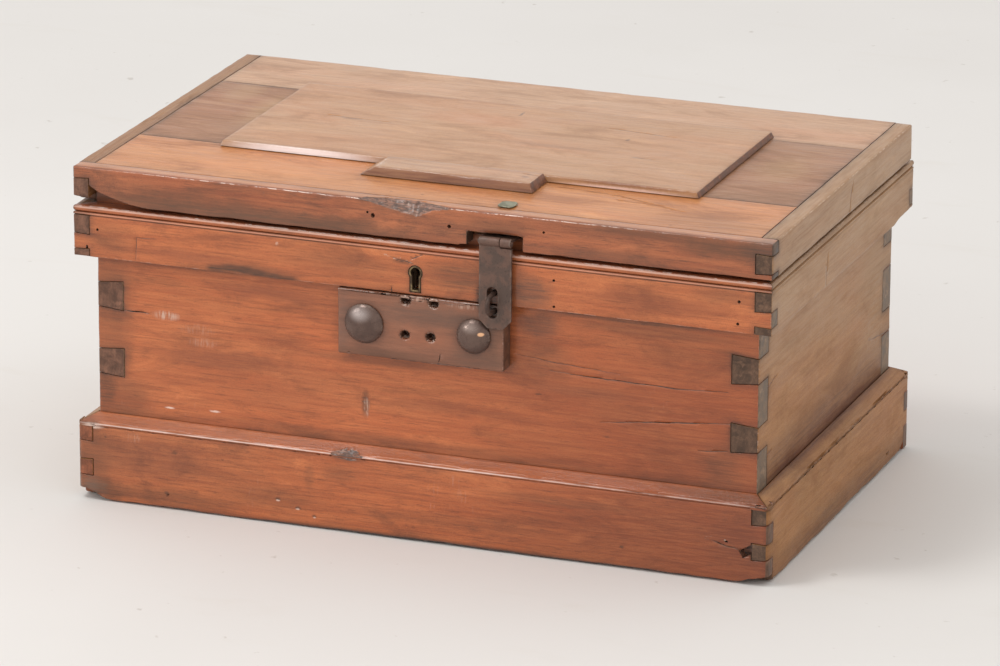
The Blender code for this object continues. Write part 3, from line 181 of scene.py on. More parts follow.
def wood(name, tone, grain, seed, ring=0.0034, figure=1.0, coat=0.55, rough=0.36, soil=1.0, rub=1.0,
         bare=False, marks=()):
    """Varnished solid wood: growth rings round a pith, fibres, patches, dirt and rubbed edges.

    figure is how strongly the grain shows, soil the dirt in the joints and the painted shade beside other
    pieces, and rub the pale worn arrises with their painted highlights.
    marks holds (centre, radii, colour, strength) of stained or scuffed places and of painted shadows, shade
    and highlights.
    """
    g = Graph(name)
    light, mid, dark, _ = TONES[tone]
    place = g.place()
    turned = g.stretch(place, (1, 1, 1), turn=TURNS[grain])
    shift = (seed * 1.37, seed * 0.71, seed * 0.53)
    rnd = random.Random(seed)

    def streaky(along, across, detail=3.0, rough_=0.6, twist=0.0):
        return g.noise(g.stretch(turned, (along, across, across), shift), 1.0, detail, rough_, twist)

    # growth rings: distance from a wandering pith line behind the board
    wander = g.noise(g.stretch(turned, (2.4, 8.0, 8.0), shift), 1.0, 2.5, out="Color")
    sway = g.vector("MULTIPLY", g.vector("SUBTRACT", wander, (0.5, 0.5, 0.5)), (0.0, 0.045, 0.045))
    pith = (0.0, rnd.uniform(0.05, 0.11) * rnd.choice((-1, 1)), rnd.uniform(0.02, 0.3))
    lean = (rnd.uniform(-0.04, 0.04), 1.0, 1.0)
    out = g.vector("MULTIPLY", g.vector("SUBTRACT", g.vector("ADD", turned, sway), pith), lean)
    radius = g.node("VectorMath", {0: out}, operation="LENGTH", out="Value")
    year = g.math("FRACT", g.math("DIVIDE", radius, ring))
    late = g.ramp(year, (0.0, 0.1), (0.62, 0.16), (0.86, 1.0), (0.95, 0.85), (1.0, 0.1))

    fibres = streaky(26.0, 640.0, 5.0, 0.7)
    dashes = streaky(80.0, 720.0, 3.0, 0.6)
    streaks = streaky(12.0, 240.0, 6.0, 0.7, 0.3)
    patches = streaky(13.0, 34.0, 8.0, 0.68, 0.6)
    glow = streaky(11.0, 44.0, 7.0, 0.66, 0.8)
    hue = streaky(4.5, 13.0, 4.0, 0.55, 0.8)
    pores = g.noise(place, 1300.0, 2.0)

    base = g.mix(g.between(streaks, 0.22, 0.78), mid, light)
    redder = g.mix(1.0, base, (1.1, 0.84, 0.7), "MULTIPLY")
    base = g.mix(g.between(hue, 0.35, 0.7, 0.0, 0.5), base, redder)
    late_share = g.between(streaks, 0.35, 0.65, 0.24 * figure, 0.06 * figure)
    base = g.mix(g.math("MULTIPLY", late, late_share), base, dark)
    base = g.mix(g.between(fibres, 0.5, 0.72, 0.0, 0.6 * figure), base, dark)
    base = g.mix(g.between(fibres, 0.48, 0.28, 0.0, 0.34 * figure), base, light)
    base = g.mix(g.between(dashes, 0.56, 0.72, 0.0, 0.5 * figure), base, dark)
    base = g.mix(g.between(glow, 0.54, 0.72, 0.0, 0.55), base, tuple(min(1.0, c * 1.25) for c in light))
    base = g.mix(g.between(patches, 0.48, 0.68, 0.0, 0.22 + 0.33 * figure), base, dark)
    base = g.mix(g.between(pores, 0.52, 0.76, 0.0, 0.55), base, dark)
    base = g.mix(g.between(pores, 0.44, 0.28, 0.0, 0.38), base, light)

    joint, edge, grime_and_shade = (g.attribute(n) for n in ("joint", "edge", "grime_and_shade"))
    scratch = g.noise(g.stretch(place, (620.0, 620.0, 90.0), shift), 1.0, 3.0)
    if not bare:
        worn = g.math("MULTIPLY", edge, g.between(streaks, 0.25, 0.65, 0.15, 0.6))
        base = g.mix(g.math("MULTIPLY", worn, 0.45), base, dark)
        # Pale flecks on the open edges: partly wood rubbed through, partly painted highlight, stronger where
        # an edge faces up to the overhead lamp
        flecks = g.noise(g.stretch(turned, (130.0, 300.0, 300.0), shift), 1.0, 5.0, 0.68)
        upward = g.node("SeparateXYZ", {0: g.node("NewGeometry", {}, out="Normal")}, out="Z")
        up_facing_highlight = g.between(upward, -0.1, 0.35, 0.22, 1.0)
        rubbed = g.math("MULTIPLY", g.between(edge, 0.68, 0.84), g.between(flecks, 0.46, 0.55))
        base = g.mix(g.math("MULTIPLY", rubbed, g.math("MULTIPLY", up_facing_highlight, rub)), base, RUBBED_AND_HIGHLIGHT)
        where = g.between(g.noise(place, 16.0 + seed % 5, 4.0), 0.62, 0.72)
        scuffs = g.math("MULTIPLY", g.between(scratch, 0.56, 0.66), where)
        base = g.mix(g.math("MULTIPLY", scuffs, 0.13), base, PALE)

    def frayed(scale, reach):
        sway = g.vector("SUBTRACT", g.noise(place, scale, 5.0, 0.65, out="Color"), (0.5, 0.5, 0.5))
        return g.vector("ADD", place, g.vector("MULTIPLY", sway, reach))

    ragged, crisp = frayed(75.0, (0.02, 0.008, 0.012)), frayed(420.0, (0.004, 0.0016, 0.0016))
    comb, brushed = g.between(scratch, 0.44, 0.6, 0.1, 1.0), g.between(fibres, 0.62, 0.38, 0.55, 1.0)
    for centre, radii, colour, strength in marks:
        outline = place if max(radii) > 1.5 else crisp if min(radii) < 0.0075 else ragged
        texture = comb if colour == PALE else brushed if sum(colour) < 1.2 else 1.0
        amount = g.math("MULTIPLY", g.spot(outline, centre, radii, 0.75), texture)
        base = g.mix(g.math("MULTIPLY", amount, strength), base, colour)
    # Dirt in the joints, plus painted shade where the face lies close to another piece
    dirt = g.math("ADD", g.math("MULTIPLY", grime_and_shade, 0.46 * soil), g.math("MULTIPLY", joint, 0.5 * soil))
    dirt = g.math("MULTIPLY", dirt, g.between(patches, 0.3, 0.62, 0.4, 1.2), clamp=True)
    base = g.mix(g.math("MULTIPLY", dirt, 0.35 if bare else 0.85), base, GRIME_AND_SHADE)

    gloss = g.between(patches, 0.35, 0.7, rough - 0.08, rough + 0.12)
    gloss = g.math("ADD", gloss, g.math("MULTIPLY", fibres, 0.1))
    height = g.math("ADD", g.math("MULTIPLY", fibres, 0.5), g.math("MULTIPLY", late, 0.22))
    height = g.math("ADD", height, g.math("MULTIPLY", dashes, -0.35))
    height = g.math("ADD", height, g.math("MULTIPLY", g.noise(place, 110.0, 4.0), 0.55))
    bump = g.node("Bump", {"Height": height, "Strength": 0.5, "Distance": 0.0008})
    varnish = g.node("Bump", {"Height": g.noise(place, 240.0, 3.0, 0.6), "Strength": 0.3, "Distance": 0.0007})
    g.set(Base_Color=base, Roughness=0.75 if bare else gloss, Normal=bump, Coat_Normal=varnish)
    g.shader.inputs["Specular IOR Level"].default_value = coat / 2
    g.shader.inputs["Coat Weight"].default_value = 0.0 if bare else coat
    g.shader.inputs["Coat Roughness"].default_value = 0.14
    return g.material


def end_grain(name, tone, seed, soil=1.0):
    """Sawn end grain, which has drunk more stain and dirt: pores and faint year arcs."""
    g = Graph(name)
    light = TONES[tone][3]
    dark = tuple(c * 0.42 for c in light)
    place = g.place()
    bent = g.vector("ADD", place, g.vector("MULTIPLY", g.noise(place, 14.0, 2.0, out="Color"), (0.012,) * 3))
    reach = g.node("VectorMath", {0: g.vector("SUBTRACT", bent, (0.31 + 0.013 * seed, -0.02, 0.05))},
                   operation="LENGTH", out="Value")
    arcs = g.ramp(g.math("FRACT", g.math("DIVIDE", reach, 0.0026)), (0.0, 0.0), (0.85, 1.0), (1.0, 0.0))
    pores = g.noise(place, 900.0, 2.0)
    cloud = g.noise(place, 85.0 + seed, 6.0, 0.68, 0.5)
    base = g.mix(g.between(cloud, 0.34, 0.66), dark, light)
    base = g.mix(g.between(g.noise(place, 140.0, 4.0), 0.56, 0.7, 0.0, 0.45), base,
                 tuple(min(1.0, c * 1.7) for c in light))
    base = g.mix(g.math("MULTIPLY", arcs, 0.25), base, dark)
    base = g.mix(g.between(pores, 0.55, 0.75, 0.0, 0.5), base, dark)
    base = g.mix(g.math("MULTIPLY", g.attribute("joint"), 0.5 * soil), base, GRIME_AND_SHADE)
    bump = g.node("Bump", {"Height": g.math("ADD", pores, arcs), "Strength": 0.3, "Distance": 0.0005})
    g.set(Base_Color=base, Roughness=g.between(cloud, 0.3, 0.7, 0.42, 0.62), Normal=bump)
    g.shader.inputs["Specular IOR Level"].default_value = 0.28
    g.shader.inputs["Coat Weight"].default_value = 0.15
    g.shader.inputs["Coat Roughness"].default_value = 0.25
    return g.material


def broken_wood(name, grain):
    """Torn fibres in chips, cracks and holes: ragged layers along the grain, soiled."""
    g = Graph(name)
    turned = g.stretch(g.place(), (1, 1, 1), turn=TURNS[grain])
    light, dark = (0.3, 0.135, 0.082), (0.075, 0.036, 0.024)
    layers = g.noise(g.stretch(turned, (42.0, 900.0, 900.0)), 1.0, 5.0, 0.65)
    cloud = g.noise(turned, 190.0, 4.0, 0.6)
    base = g.mix(g.between(layers, 0.36, 0.62), dark, light)
    base = g.mix(g.between(cloud, 0.5, 0.62, 0.0, 0.85), base, dark)
    base = g.mix(g.between(cloud, 0.38, 0.28, 0.0, 0.35), base, PALE)
    bump = g.node("Bump", {"Height": layers, "Strength": 0.6, "Distance": 0.0008})
    g.set(Base_Color=base, Roughness=0.38, Normal=bump)
    g.shader.inputs["Coat Weight"].default_value = 0.4
    g.shader.inputs["Coat Roughness"].default_value = 0.2
    return g.material


# ================================================================ metal and floor
def metal(name, base, worn, rust, metallic, rough, pits=0.5, worn_at=0.62, scrapes_and_highlights=()):
    """Old metal: cloudy patina, rust or verdigris, pits, and edges rubbed brighter.

    The last argument holds (centre, radii, colour, softness) of places scraped bright and of painted
    highlights.
    """
    g = Graph(name)
    place = g.place()
    cloud = g.noise(place, 70.0, 6.0, 0.65, 0.5)
    fine = g.noise(place, 520.0, 4.0, 0.65)
    dents = g.noise(place, 190.0, 3.0, 0.5)
    colour = g.mix(g.between(cloud, 0.4, 0.6), base, rust)
    colour = g.mix(g.between(fine, 0.54, 0.72, 0.0, 0.55), colour, tuple(c * 0.4 for c in base))
    rub = g.math("MULTIPLY", g.between(g.attribute("edge"), 0.55, 0.95), g.between(dents, 0.46, 0.6))
    scuff = g.noise(g.stretch(place, (600.0, 600.0, 80.0)), 1.0, 3.0)
    scuff = g.between(scuff, worn_at, worn_at + 0.12, 0.0, 0.35)
    colour = g.mix(g.math("ADD", rub, scuff, clamp=True), colour, worn)
    for centre, radii, spot_colour, soft in scrapes_and_highlights:
        colour = g.mix(g.spot(place, centre, radii, soft), colour, spot_colour)
    height = g.math("ADD", g.math("MULTIPLY", fine, 0.6), dents)
    bump = g.node("Bump", {"Height": height, "Strength": pits, "Distance": 0.0005})
    roughness = g.math("ADD", cloud, g.math("MULTIPLY", fine, 0.4))
    roughness = g.between(roughness, 0.5, 0.9, rough - 0.08, rough + 0.16)
    g.set(Base_Color=colour, Roughness=roughness, Normal=bump)
    g.shader.inputs["Metallic"].default_value = metallic
    return g.material


def floor_material():
    g = Graph("pale_floor")
    place = g.place()
    cloud = g.noise(place, 1.6, 4.0)
    scuffs = g.noise(g.stretch(place, (5.0, 16.0, 1.0)), 1.0, 5.0, 0.6, 0.6)
    specks = g.noise(place, 60.0, 3.0, 0.5)
    colour = g.mix(g.between(cloud, 0.3, 0.7), (0.715, 0.694, 0.674), (0.742, 0.723, 0.704))
    colour = g.mix(g.between(scuffs, 0.58, 0.78, 0.0, 0.16), colour, (0.62, 0.57, 0.49))
    colour = g.mix(g.between(specks, 0.7, 0.76, 0.0, 0.35), colour, (0.35, 0.3, 0.25))
    g.set(Base_Color=colour, Roughness=0.8)
    return g.material


IRON = metal("old_iron", (0.095, 0.06, 0.047), (0.2, 0.14, 0.112), (0.15, 0.082, 0.06),
             0.25, 0.42, 0.55, 0.66)
DOME_LEFT, DOME_RIGHT = ((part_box(n)[0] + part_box(n)[1]) / 2 for n in ("dome_bolt_left", "dome_bolt_right"))
DOME_IRON = metal("dome_iron", (0.145, 0.092, 0.074), (0.21, 0.155, 0.128), (0.11, 0.068, 0.055),
                  0.55, 0.26, 0.14, 0.75,
                  # the first two places are painted highlights on the tops of the domes; the third is a
                  # copper scrape
                  ((DOME_LEFT + Vector((-0.002, 0.0, 0.0085)), (0.012, 0.2, 0.008), (0.42, 0.35, 0.33), 1.0),
                   (DOME_RIGHT + Vector((-0.001, 0.0, 0.008)), (0.01, 0.2, 0.006), (0.3, 0.225, 0.195), 1.0),
                   (DOME_RIGHT + Vector((0.0078, 0.0, 0.0038)), (0.003, 0.2, 0.0018),
                    (0.85, 0.48, 0.27), 0.4)))
DARK_IRON = metal("dark_iron", (0.048, 0.027, 0.02), (0.085, 0.05, 0.037), (0.07, 0.034, 0.023),
                  0.1, 0.55, 0.5, 0.8)
BRASS = metal("old_brass", (0.09, 0.054, 0.026), (0.3, 0.215, 0.105), (0.06, 0.034, 0.02),
              0.45, 0.46, 0.6, 0.7)
VERDIGRIS = metal("green_brass", (0.25, 0.245, 0.17), (0.4, 0.38, 0.27), (0.16, 0.16, 0.11), 0.1, 0.55)
BARE_X = wood("bare_pine_x", "bare", "x", 41, bare=True)
BARE_Y = wood("bare_pine_y", "bare", "y", 43, bare=True)
BROKEN_X = broken_wood("broken_wood_x", "x")
BROKEN_Y = broken_wood("broken_wood_y", "y")


# ================================================================ cutting tools for damage
def on_face(face, u, v, depth):
    """A point on one of the chest's flat faces; face is (side, where it is)."""
    side, at = face
    return {"front": Vector((u, at + depth, v)), "back": Vector((u, at - depth, v)),
            "right": Vector((at - depth, u, v)), "left": Vector((at + depth, u, v)),
            "top": Vector((u, v, at - depth)), "bottom": Vector((u, v, at + depth))}[side]


def skin(bm, rings):
    """Joins rings of points into one closed solid, with a face over each end."""
    loops = [[bm.verts.new(p) for p in ring] for ring in rings]
    faces = [bm.faces.new(loops[0][::-1]), bm.faces.new(loops[-1])]
    for a, b in zip(loops, loops[1:]):
        for i in range(len(a)):
            j = (i + 1) % len(a)
            faces.append(bm.faces.new((a[i], a[j], b[j], b[i])))
    volume = 0.0
    for face in faces:
        first, *rest = (v.co for v in face.verts)
        volume += sum(first.dot(p.cross(q)) for p, q in zip(rest, rest[1:]))
    if volume < 0:
        bmesh.ops.reverse_faces(bm, faces=faces)


def crack(bm, face, points, width, depth, seed):
    """A split along the grain: a wandering V-shaped groove that closes at both ends."""
    rnd = random.Random(seed)
    stops = [Vector((*p, 0)) for p in points]
    line = []
    for a, b in zip(stops, stops[1:]):
        count = max(2, round((b - a).length / 0.006))
        line += [a.lerp(b, i / count) for i in range(count)]
    line.append(stops[-1])
    rings = []
    for i, p in enumerate(line):
        t = i / (len(line) - 1)
        half = width / 2 * max(0.12, math.sin(math.pi * (0.06 + 0.88 * t)) ** 0.6) * rnd.uniform(0.6, 1.1)
        sway = rnd.uniform(-1, 1) * 0.00025
        ahead = line[min(i + 1, len(line) - 1)] - line[max(i - 1, 0)]
        side = Vector((-ahead.y, ahead.x, 0)).normalized()
        up = p + side * (sway + half * 1.6)
        low = p + side * (sway - half * 1.6)
        tip = p + side * sway
        rings.append([on_face(face, up.x, up.y, -0.0006), on_face(face, low.x, low.y, -0.0006),
                      on_face(face, tip.x, tip.y, depth * max(0.25, math.sin(math.pi * t)))])
    skin(bm, rings)


def drill(bm, face, u, v, radius, depth=0.004, seed=1):
    """A nail or worm hole, not quite round."""
    rnd = random.Random(seed)
    wobble = [rnd.uniform(0.82, 1.12) for _ in range(10)]
    rings = []
    for at, grow in ((-0.0008, 1.25), (0.0003, 1.0), (depth, 0.7)):
        rings.append([on_face(face, u + radius * grow * w * math.cos(0.628 * i),
                              v + radius * grow * w * math.sin(0.628 * i), at) for i, w in enumerate(wobble)])
    skin(bm, rings)


def gouge(bm, face, u, v, size, seed=1, rough=0.35, detail=3):
    """A ragged dent: a lumpy ball of half-sizes (u, v, depth) sunk in a face."""
    made = bmesh.ops.create_icosphere(bm, subdivisions=detail, radius=1.0)
    offset = Vector((seed * 3.1, seed * 1.7, seed * 0.9))
    for vert in made["verts"]:
        p = vert.co.copy()
        lump = 1 + rough * noise.noise(p * 2.2 + offset) + 0.5 * rough * noise.noise(p * 5.1 + offset)
        p *= lump
        vert.co = on_face(face, u + p.x * size[0], v + p.y * size[1], p.z * size[2])


def cracks(bm, face, *rows):
    """Cracks, each with its seed, width, depth and points (mm)."""
    for seed, width, depth, *points in rows:
        crack(bm, face, [(u / 1000, v / 1000) for u, v in points], width / 1000, depth / 1000, seed)


def gouges(bm, face, *rows):
    """Dents, each with its seed, place and half-sizes (mm), and perhaps roughness and detail."""
    for row in rows:
        seed, u, v, width, height, depth, *more = row
        gouge(bm, face, u / 1000, v / 1000, [n / 1000 for n in (width, height, depth)], seed, *more)


def dents(bm, face, first, rough, detail, *rows):
    """Dents alike in roughness, numbered on from a first seed."""
    gouges(bm, face, *((first + i, *row, rough, detail) for i, row in enumerate(rows)))


def holes(bm, face, first, depth, *rows):
    """Nail or worm holes: places and radius (mm)."""
    for i, row in enumerate(rows):
        drill(bm, face, *(n / 1000 for n in row), depth, first + i)


def at_depth(y, *points):
    """Points of a line at a depth y, from their x and z in mm."""
    return [(x / 1000, y, z / 1000) for x, z in points]


def chip(bm, path_a, path_b, out, seed=1, ragged=0.0005, steps=6, spacing=0.003):
    """Takes off all that lies beyond a torn surface between two lines of points."""
    def resample(path, count):
        lengths = [0.0]
        for a, b in zip(path, path[1:]):
            lengths.append(lengths[-1] + (Vector(b) - Vector(a)).length)
        made = []
        for i in range(count + 1):
            at = lengths[-1] * i / count
            k = max(j for j in range(len(lengths)) if lengths[j] <= at + 1e-9)
            k = min(k, len(path) - 2)
            share = (at - lengths[k]) / max(lengths[k + 1] - lengths[k], 1e-9)
            made.append(Vector(path[k]).lerp(Vector(path[k + 1]), share))
        return made

    span = sum((Vector(b) - Vector(a)).length for a, b in zip(path_a, path_a[1:]))
    count = max(4, round(span / spacing))
    line_a, line_b = resample(path_a, count), resample(path_b, count)
    out = Vector(out)
    away = out.normalized()
    offset = Vector((seed * 2.3, seed, seed * 0.7))
    rings = []
    for a, b in zip(line_a, line_b):
        ring = []
        for k in range(steps + 1):
            p = a.lerp(b, k / steps)
            tear = noise.noise(p * 260 + offset) + 0.6 * noise.noise(p * 640 + offset)
            ring.append(p + away * ragged * tear)
        ring += [b + out, a + out]
        rings.append(ring)
    skin(bm, rings)


# ================================================================ making worn boards
BESIDE_JOINT = 0.0019                                         # where a board is sliced beside a corner
EDGE_FADE, JOINT_FADE, GRIME_AND_SHADE_FADE = 0.0035, 0.0008, 0.0035    # how far each mark reaches
TOUCHING = 0.0005                                             # a gap that still counts as touching


def solid_of(node):
    """The CAD node's surface as flat faces, without its triangles."""
    bm = bmesh.new()
    bm.from_mesh(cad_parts[node].data)
    bmesh.ops.remove_doubles(bm, verts=bm.verts, dist=0.00001)
    bmesh.ops.dissolve_limit(bm, angle_limit=math.radians(1), verts=bm.verts, edges=bm.edges)
    return bm


def surroundings(node):
    """Every other CAD node's surface, which tells a joint from an open edge."""
    points, faces = [], []
    for name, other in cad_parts.items():
        if name != node:
            start = len(points)
            points.extend(v.co.copy() for v in other.data.vertices)
            faces.extend([start + i for i in p.vertices] for p in other.data.polygons)
    return BVHTree.FromPolygons(points, faces)


def tree_of(points):
    tree = KDTree(max(1, len(points)))
    for i, p in enumerate(points or [Vector((0, 0, -9))]):
        tree.insert(p, i)
    tree.balance()
    return tree


def mark_edges(bm, others):
    """Weights for the bevel, and points along the open edges and along the joints."""
    weight = bm.edges.layers.float.new("bevel_weight_edge")
    open_points, joint_points = [], []
    for edge in bm.edges:
        if len(edge.link_faces) != 2 or edge.calc_face_angle(0) < math.radians(20):
            continue
        a, b = (v.co for v in edge.verts)
        count = max(1, round((b - a).length / 0.002))
        points = [a.lerp(b, (i + 0.5) / count) for i in range(count)]
        probe = points[::max(1, count // 6)]
        touching = sum(others.find_nearest(p)[3] < JOINT_REACH for p in probe)
        if touching * 2 > len(probe):
            edge[weight] = JOINT_ARRIS
            joint_points += points
        else:
            edge[weight] = 1.0
            open_points += points
    return tree_of(open_points), tree_of(joint_points)


def evaluated_mesh(obj):
    depsgraph = bpy.context.evaluated_depsgraph_get()
    depsgraph.update()
    return bpy.data.meshes.new_from_object(obj.evaluated_get(depsgraph), depsgraph=depsgraph)


def temporary(name, bm):
    mesh = bpy.data.meshes.new(name)
    bm.to_mesh(mesh)
    bm.free()
    obj = bpy.data.objects.new(name, mesh)
    bpy.context.scene.collection.objects.link(obj)
    return obj


def beside_corners(bm):
    """Places to slice a board, by axis, so that the dirt and painted shade beside a joint stay near the
    joint.
    """
    places = {}
    for k, axis in enumerate("xyz"):
        corners = sorted({round(v.co[k], 4) for v in bm.verts})
        wanted = sorted(c + side * BESIDE_JOINT for c in corners for side in (-1, 1))
        kept = wanted[:1]
        for at in wanted:
            if at - kept[-1] > 0.0009:
                kept.append(at)
        places[axis] = kept if len(kept) < 60 else []
    return places


def cut_up(bm, steps, extra):
    """Slices the mesh into small facets; extra holds more places to cut, by axis."""
    low = Vector([min(v.co[k] for v in bm.verts) for k in range(3)])
    high = Vector([max(v.co[k] for v in bm.verts) for k in range(3)])
    for k in range(3):
        count = max(1, round((high[k] - low[k]) / steps[k]))
        places = [low[k] + (high[k] - low[k]) * i / count for i in range(1, count)]
        places += [z for z in extra.get("xyz"[k], ()) if low[k] < z < high[k]]
        for at in sorted(places):
            where, normal = Vector((0, 0, 0)), Vector((0, 0, 0))
            where[k], normal[k] = at, 1.0
            bmesh.ops.bisect_plane(bm, geom=bm.verts[:] + bm.edges[:] + bm.faces[:],
                                   plane_co=where, plane_no=normal, dist=0.000002)


def layer(bm, name):
    return bm.verts.layers.float.get(name) or bm.verts.layers.float.new(name)


def weather(bm, others, open_tree, joint_tree, seed, wave, wear):
    """Uneven faces, edges worn back here and there, and the marks that the materials read."""
    edge_mark, joint_mark, grime_and_shade_mark = (layer(bm, n) for n in ("edge", "joint", "grime_and_shade"))
    offset = Vector((seed * 1.9, seed * 0.7, seed * 2.3))
    bm.normal_update()
    moves = []
    for vert in bm.verts:
        p = vert.co
        to_edge = open_tree.find(p)[2]
        to_joint = joint_tree.find(p)[2]
        to_other = others.find_nearest(p)[3]
        vert[edge_mark] = math.exp(-to_edge / EDGE_FADE)
        vert[joint_mark] = math.exp(-to_joint / JOINT_FADE)
        # darkening near any other piece: partly dirt, partly painted shade between parts
        vert[grime_and_shade_mark] = math.exp(-max(0.0, to_other - TOUCHING) / GRIME_AND_SHADE_FADE)
        near = max(0.0, 1 - to_edge / 0.003)
        worn = 0.45 + 0.55 * noise.noise(p * 70 + offset)
        bite = max(0.0, noise.noise(p * 33 + offset) - 0.3) * 2.2
        ripple = 0.5 + 0.5 * noise.noise(Vector((p.x * 13, p.y * 13, p.z * 13)) + offset)
        moves.append(vert.normal * -(wave * ripple + wear * near * (max(0.0, worn) + bite)))
    for vert, move in zip(bm.verts, moves):
        vert.co += move


def keep_inside(bm, node):
    """Holds a worn piece inside its CAD piece's own box."""
    low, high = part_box(node)
    for vert in bm.verts:
        for k in range(3):
            vert.co[k] = min(max(vert.co[k], low[k]), high[k])


def bevelled(node, bm, surfaces, width, segments):
    """An object with the weighted edges bevelled."""
    blank = temporary(node + "_blank", bm)
    for surface in surfaces:
        blank.data.materials.append(surface)
    bevel = blank.modifiers.new("arris", "BEVEL")
    bevel.limit_method = "WEIGHT"
    bevel.width = width
    bevel.segments = segments
    bevel.use_clamp_overlap = False
    return blank


def carved(blank, tools, use_self=False):
    """The mesh of an object less its tools, which are both used up."""
    if tools:
        cut = blank.modifiers.new("cut", "BOOLEAN")
        cut.solver = "EXACT"
        cut.use_self = use_self
        cut.object = tools
    bm = bmesh.new()
    bm.from_mesh(evaluated_mesh(blank))
    for spare in filter(None, (blank, tools)):
        bpy.data.objects.remove(spare)
    return bm


def adopt(node, body, bm, surfaces, sharp):
    """The worn mesh as the piece that stands for a CAD node."""
    keep_inside(bm, node)
    for face in bm.faces:
        face.smooth = True
    mesh = bpy.data.meshes.new(node + "_worn")
    bm.to_mesh(mesh)
    bm.free()
    for surface in surfaces:
        mesh.materials.append(surface)
    mesh.set_sharp_from_angle(angle=math.radians(sharp))
    piece = bpy.data.objects.new(node + "_worn", mesh)
    bpy.context.scene.collection.objects.link(piece)
    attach(piece, body)
    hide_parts(node)
    return piece


def board(node, body, slot, tone, grain, seed, inward=None, damage=None, shape=None, steps=None,
          extra=None, arris=ARRIS, wave=0.00022, wear=0.0006, **finish):
    """A worn wooden piece in the place of a CAD node."""
    others = surroundings(node)
    bm = solid_of(node)
    open_tree, joint_tree = mark_edges(bm, others)
    along = Vector((0, 0, 0))
    along[AXES[grain]] = 1.0
    for face in bm.faces:
        if abs(face.normal.dot(along)) > 0.75:
            face.material_index = END
        elif inward is not None and face.normal.dot(Vector(inward)) > 0.9:
            face.material_index = INSIDE
    extra = dict(extra or {})
    for axis, places in beside_corners(bm).items():
        extra[axis] = [*extra.get(axis, ()), *places]
    materials = [wood(node + "_wood", tone, grain, seed, **finish),
                 end_grain(node + "_end", tone, seed, finish.get("soil", 1.0)),
                 BROKEN_X if grain == "x" else BROKEN_Y, BARE_X if grain == "x" else BARE_Y]
    blank = bevelled(node, bm, materials, arris, 3)
    tools = None
    if damage:
        cutters = bmesh.new()
        damage(cutters)
        for face in cutters.faces:
            face.material_index = BROKEN
        tools = temporary(node + "_tools", cutters)
        for surface in materials:
            tools.data.materials.append(surface)
    bm = carved(blank, tools, True)
    sizes = [ACROSS] * 3
    sizes[AXES[grain]] = ALONG
    bmesh.ops.dissolve_degenerate(bm, dist=0.00003, edges=bm.edges)
    cut_up(bm, steps or sizes, extra)
    weather(bm, others, open_tree, joint_tree, seed, wave, wear)
    if shape:
        shape(bm)
    return adopt(node, body, bm, materials, 38)


# ================================================================ the case
FRONT, RIGHT = ("front", CASE_Y), ("right", CASE_X)


def front_damage(bm):
    cracks(bm, FRONT, (1, 1, 2, (-253.5, 156.7), (-230.6, 156.7)),
                      (2, 0.8, 1.6, (250.5, 149), (212.6, 146.8), (146.2, 147.8), (105, 149.2)),
                      (3, 0.8, 1.6, (252, 123.7), (190, 117.5), (146.6, 112.7)),
                      (4, 0.4, 0.8, (76.4, 159.8), (112, 156), (162.5, 153.2)),
                      (5, 0.25, 0.4, (-206.8, 174.8), (-181.9, 176.3), (-145.4, 164.9)),
                      (6, 0.7, 1.2, (250.5, 101.4), (226.5, 99)))
    gouges(bm, FRONT, (3, -47.4, 101, 3.2, 8.5, 2.2))


def side_damage(bm):
    cracks(bm, RIGHT, (8, 0.4, 0.8, (120, 109.5), (171.9, 102.4)),
                      (9, 0.6, 1.4, (-148, 147.8), (-115, 153)),
                      (10, 0.6, 1.4, (-148, 92.5), (-124, 96)))


def strip(x, y, z, colour, strength, *radii):
    """A place of stain, wear, painted shade or painted highlight: its middle, its half-sizes and its colour.
    """
    return (x, y, z), radii, colour, strength


def stains_and_painted_light(origin, *rows):
    """Places of stain, wear, painted shade or painted highlight as rows: x, y, z from the origin in mm,
    colour, strength and half-sizes in mm.
    """
    places = []
    for row in rows:
        middle = [o + d / 1000 for o, d in zip(origin, row)]
        places.append(strip(*middle, *row[3:5], *(r / 1000 for r in row[5:])))
    return places


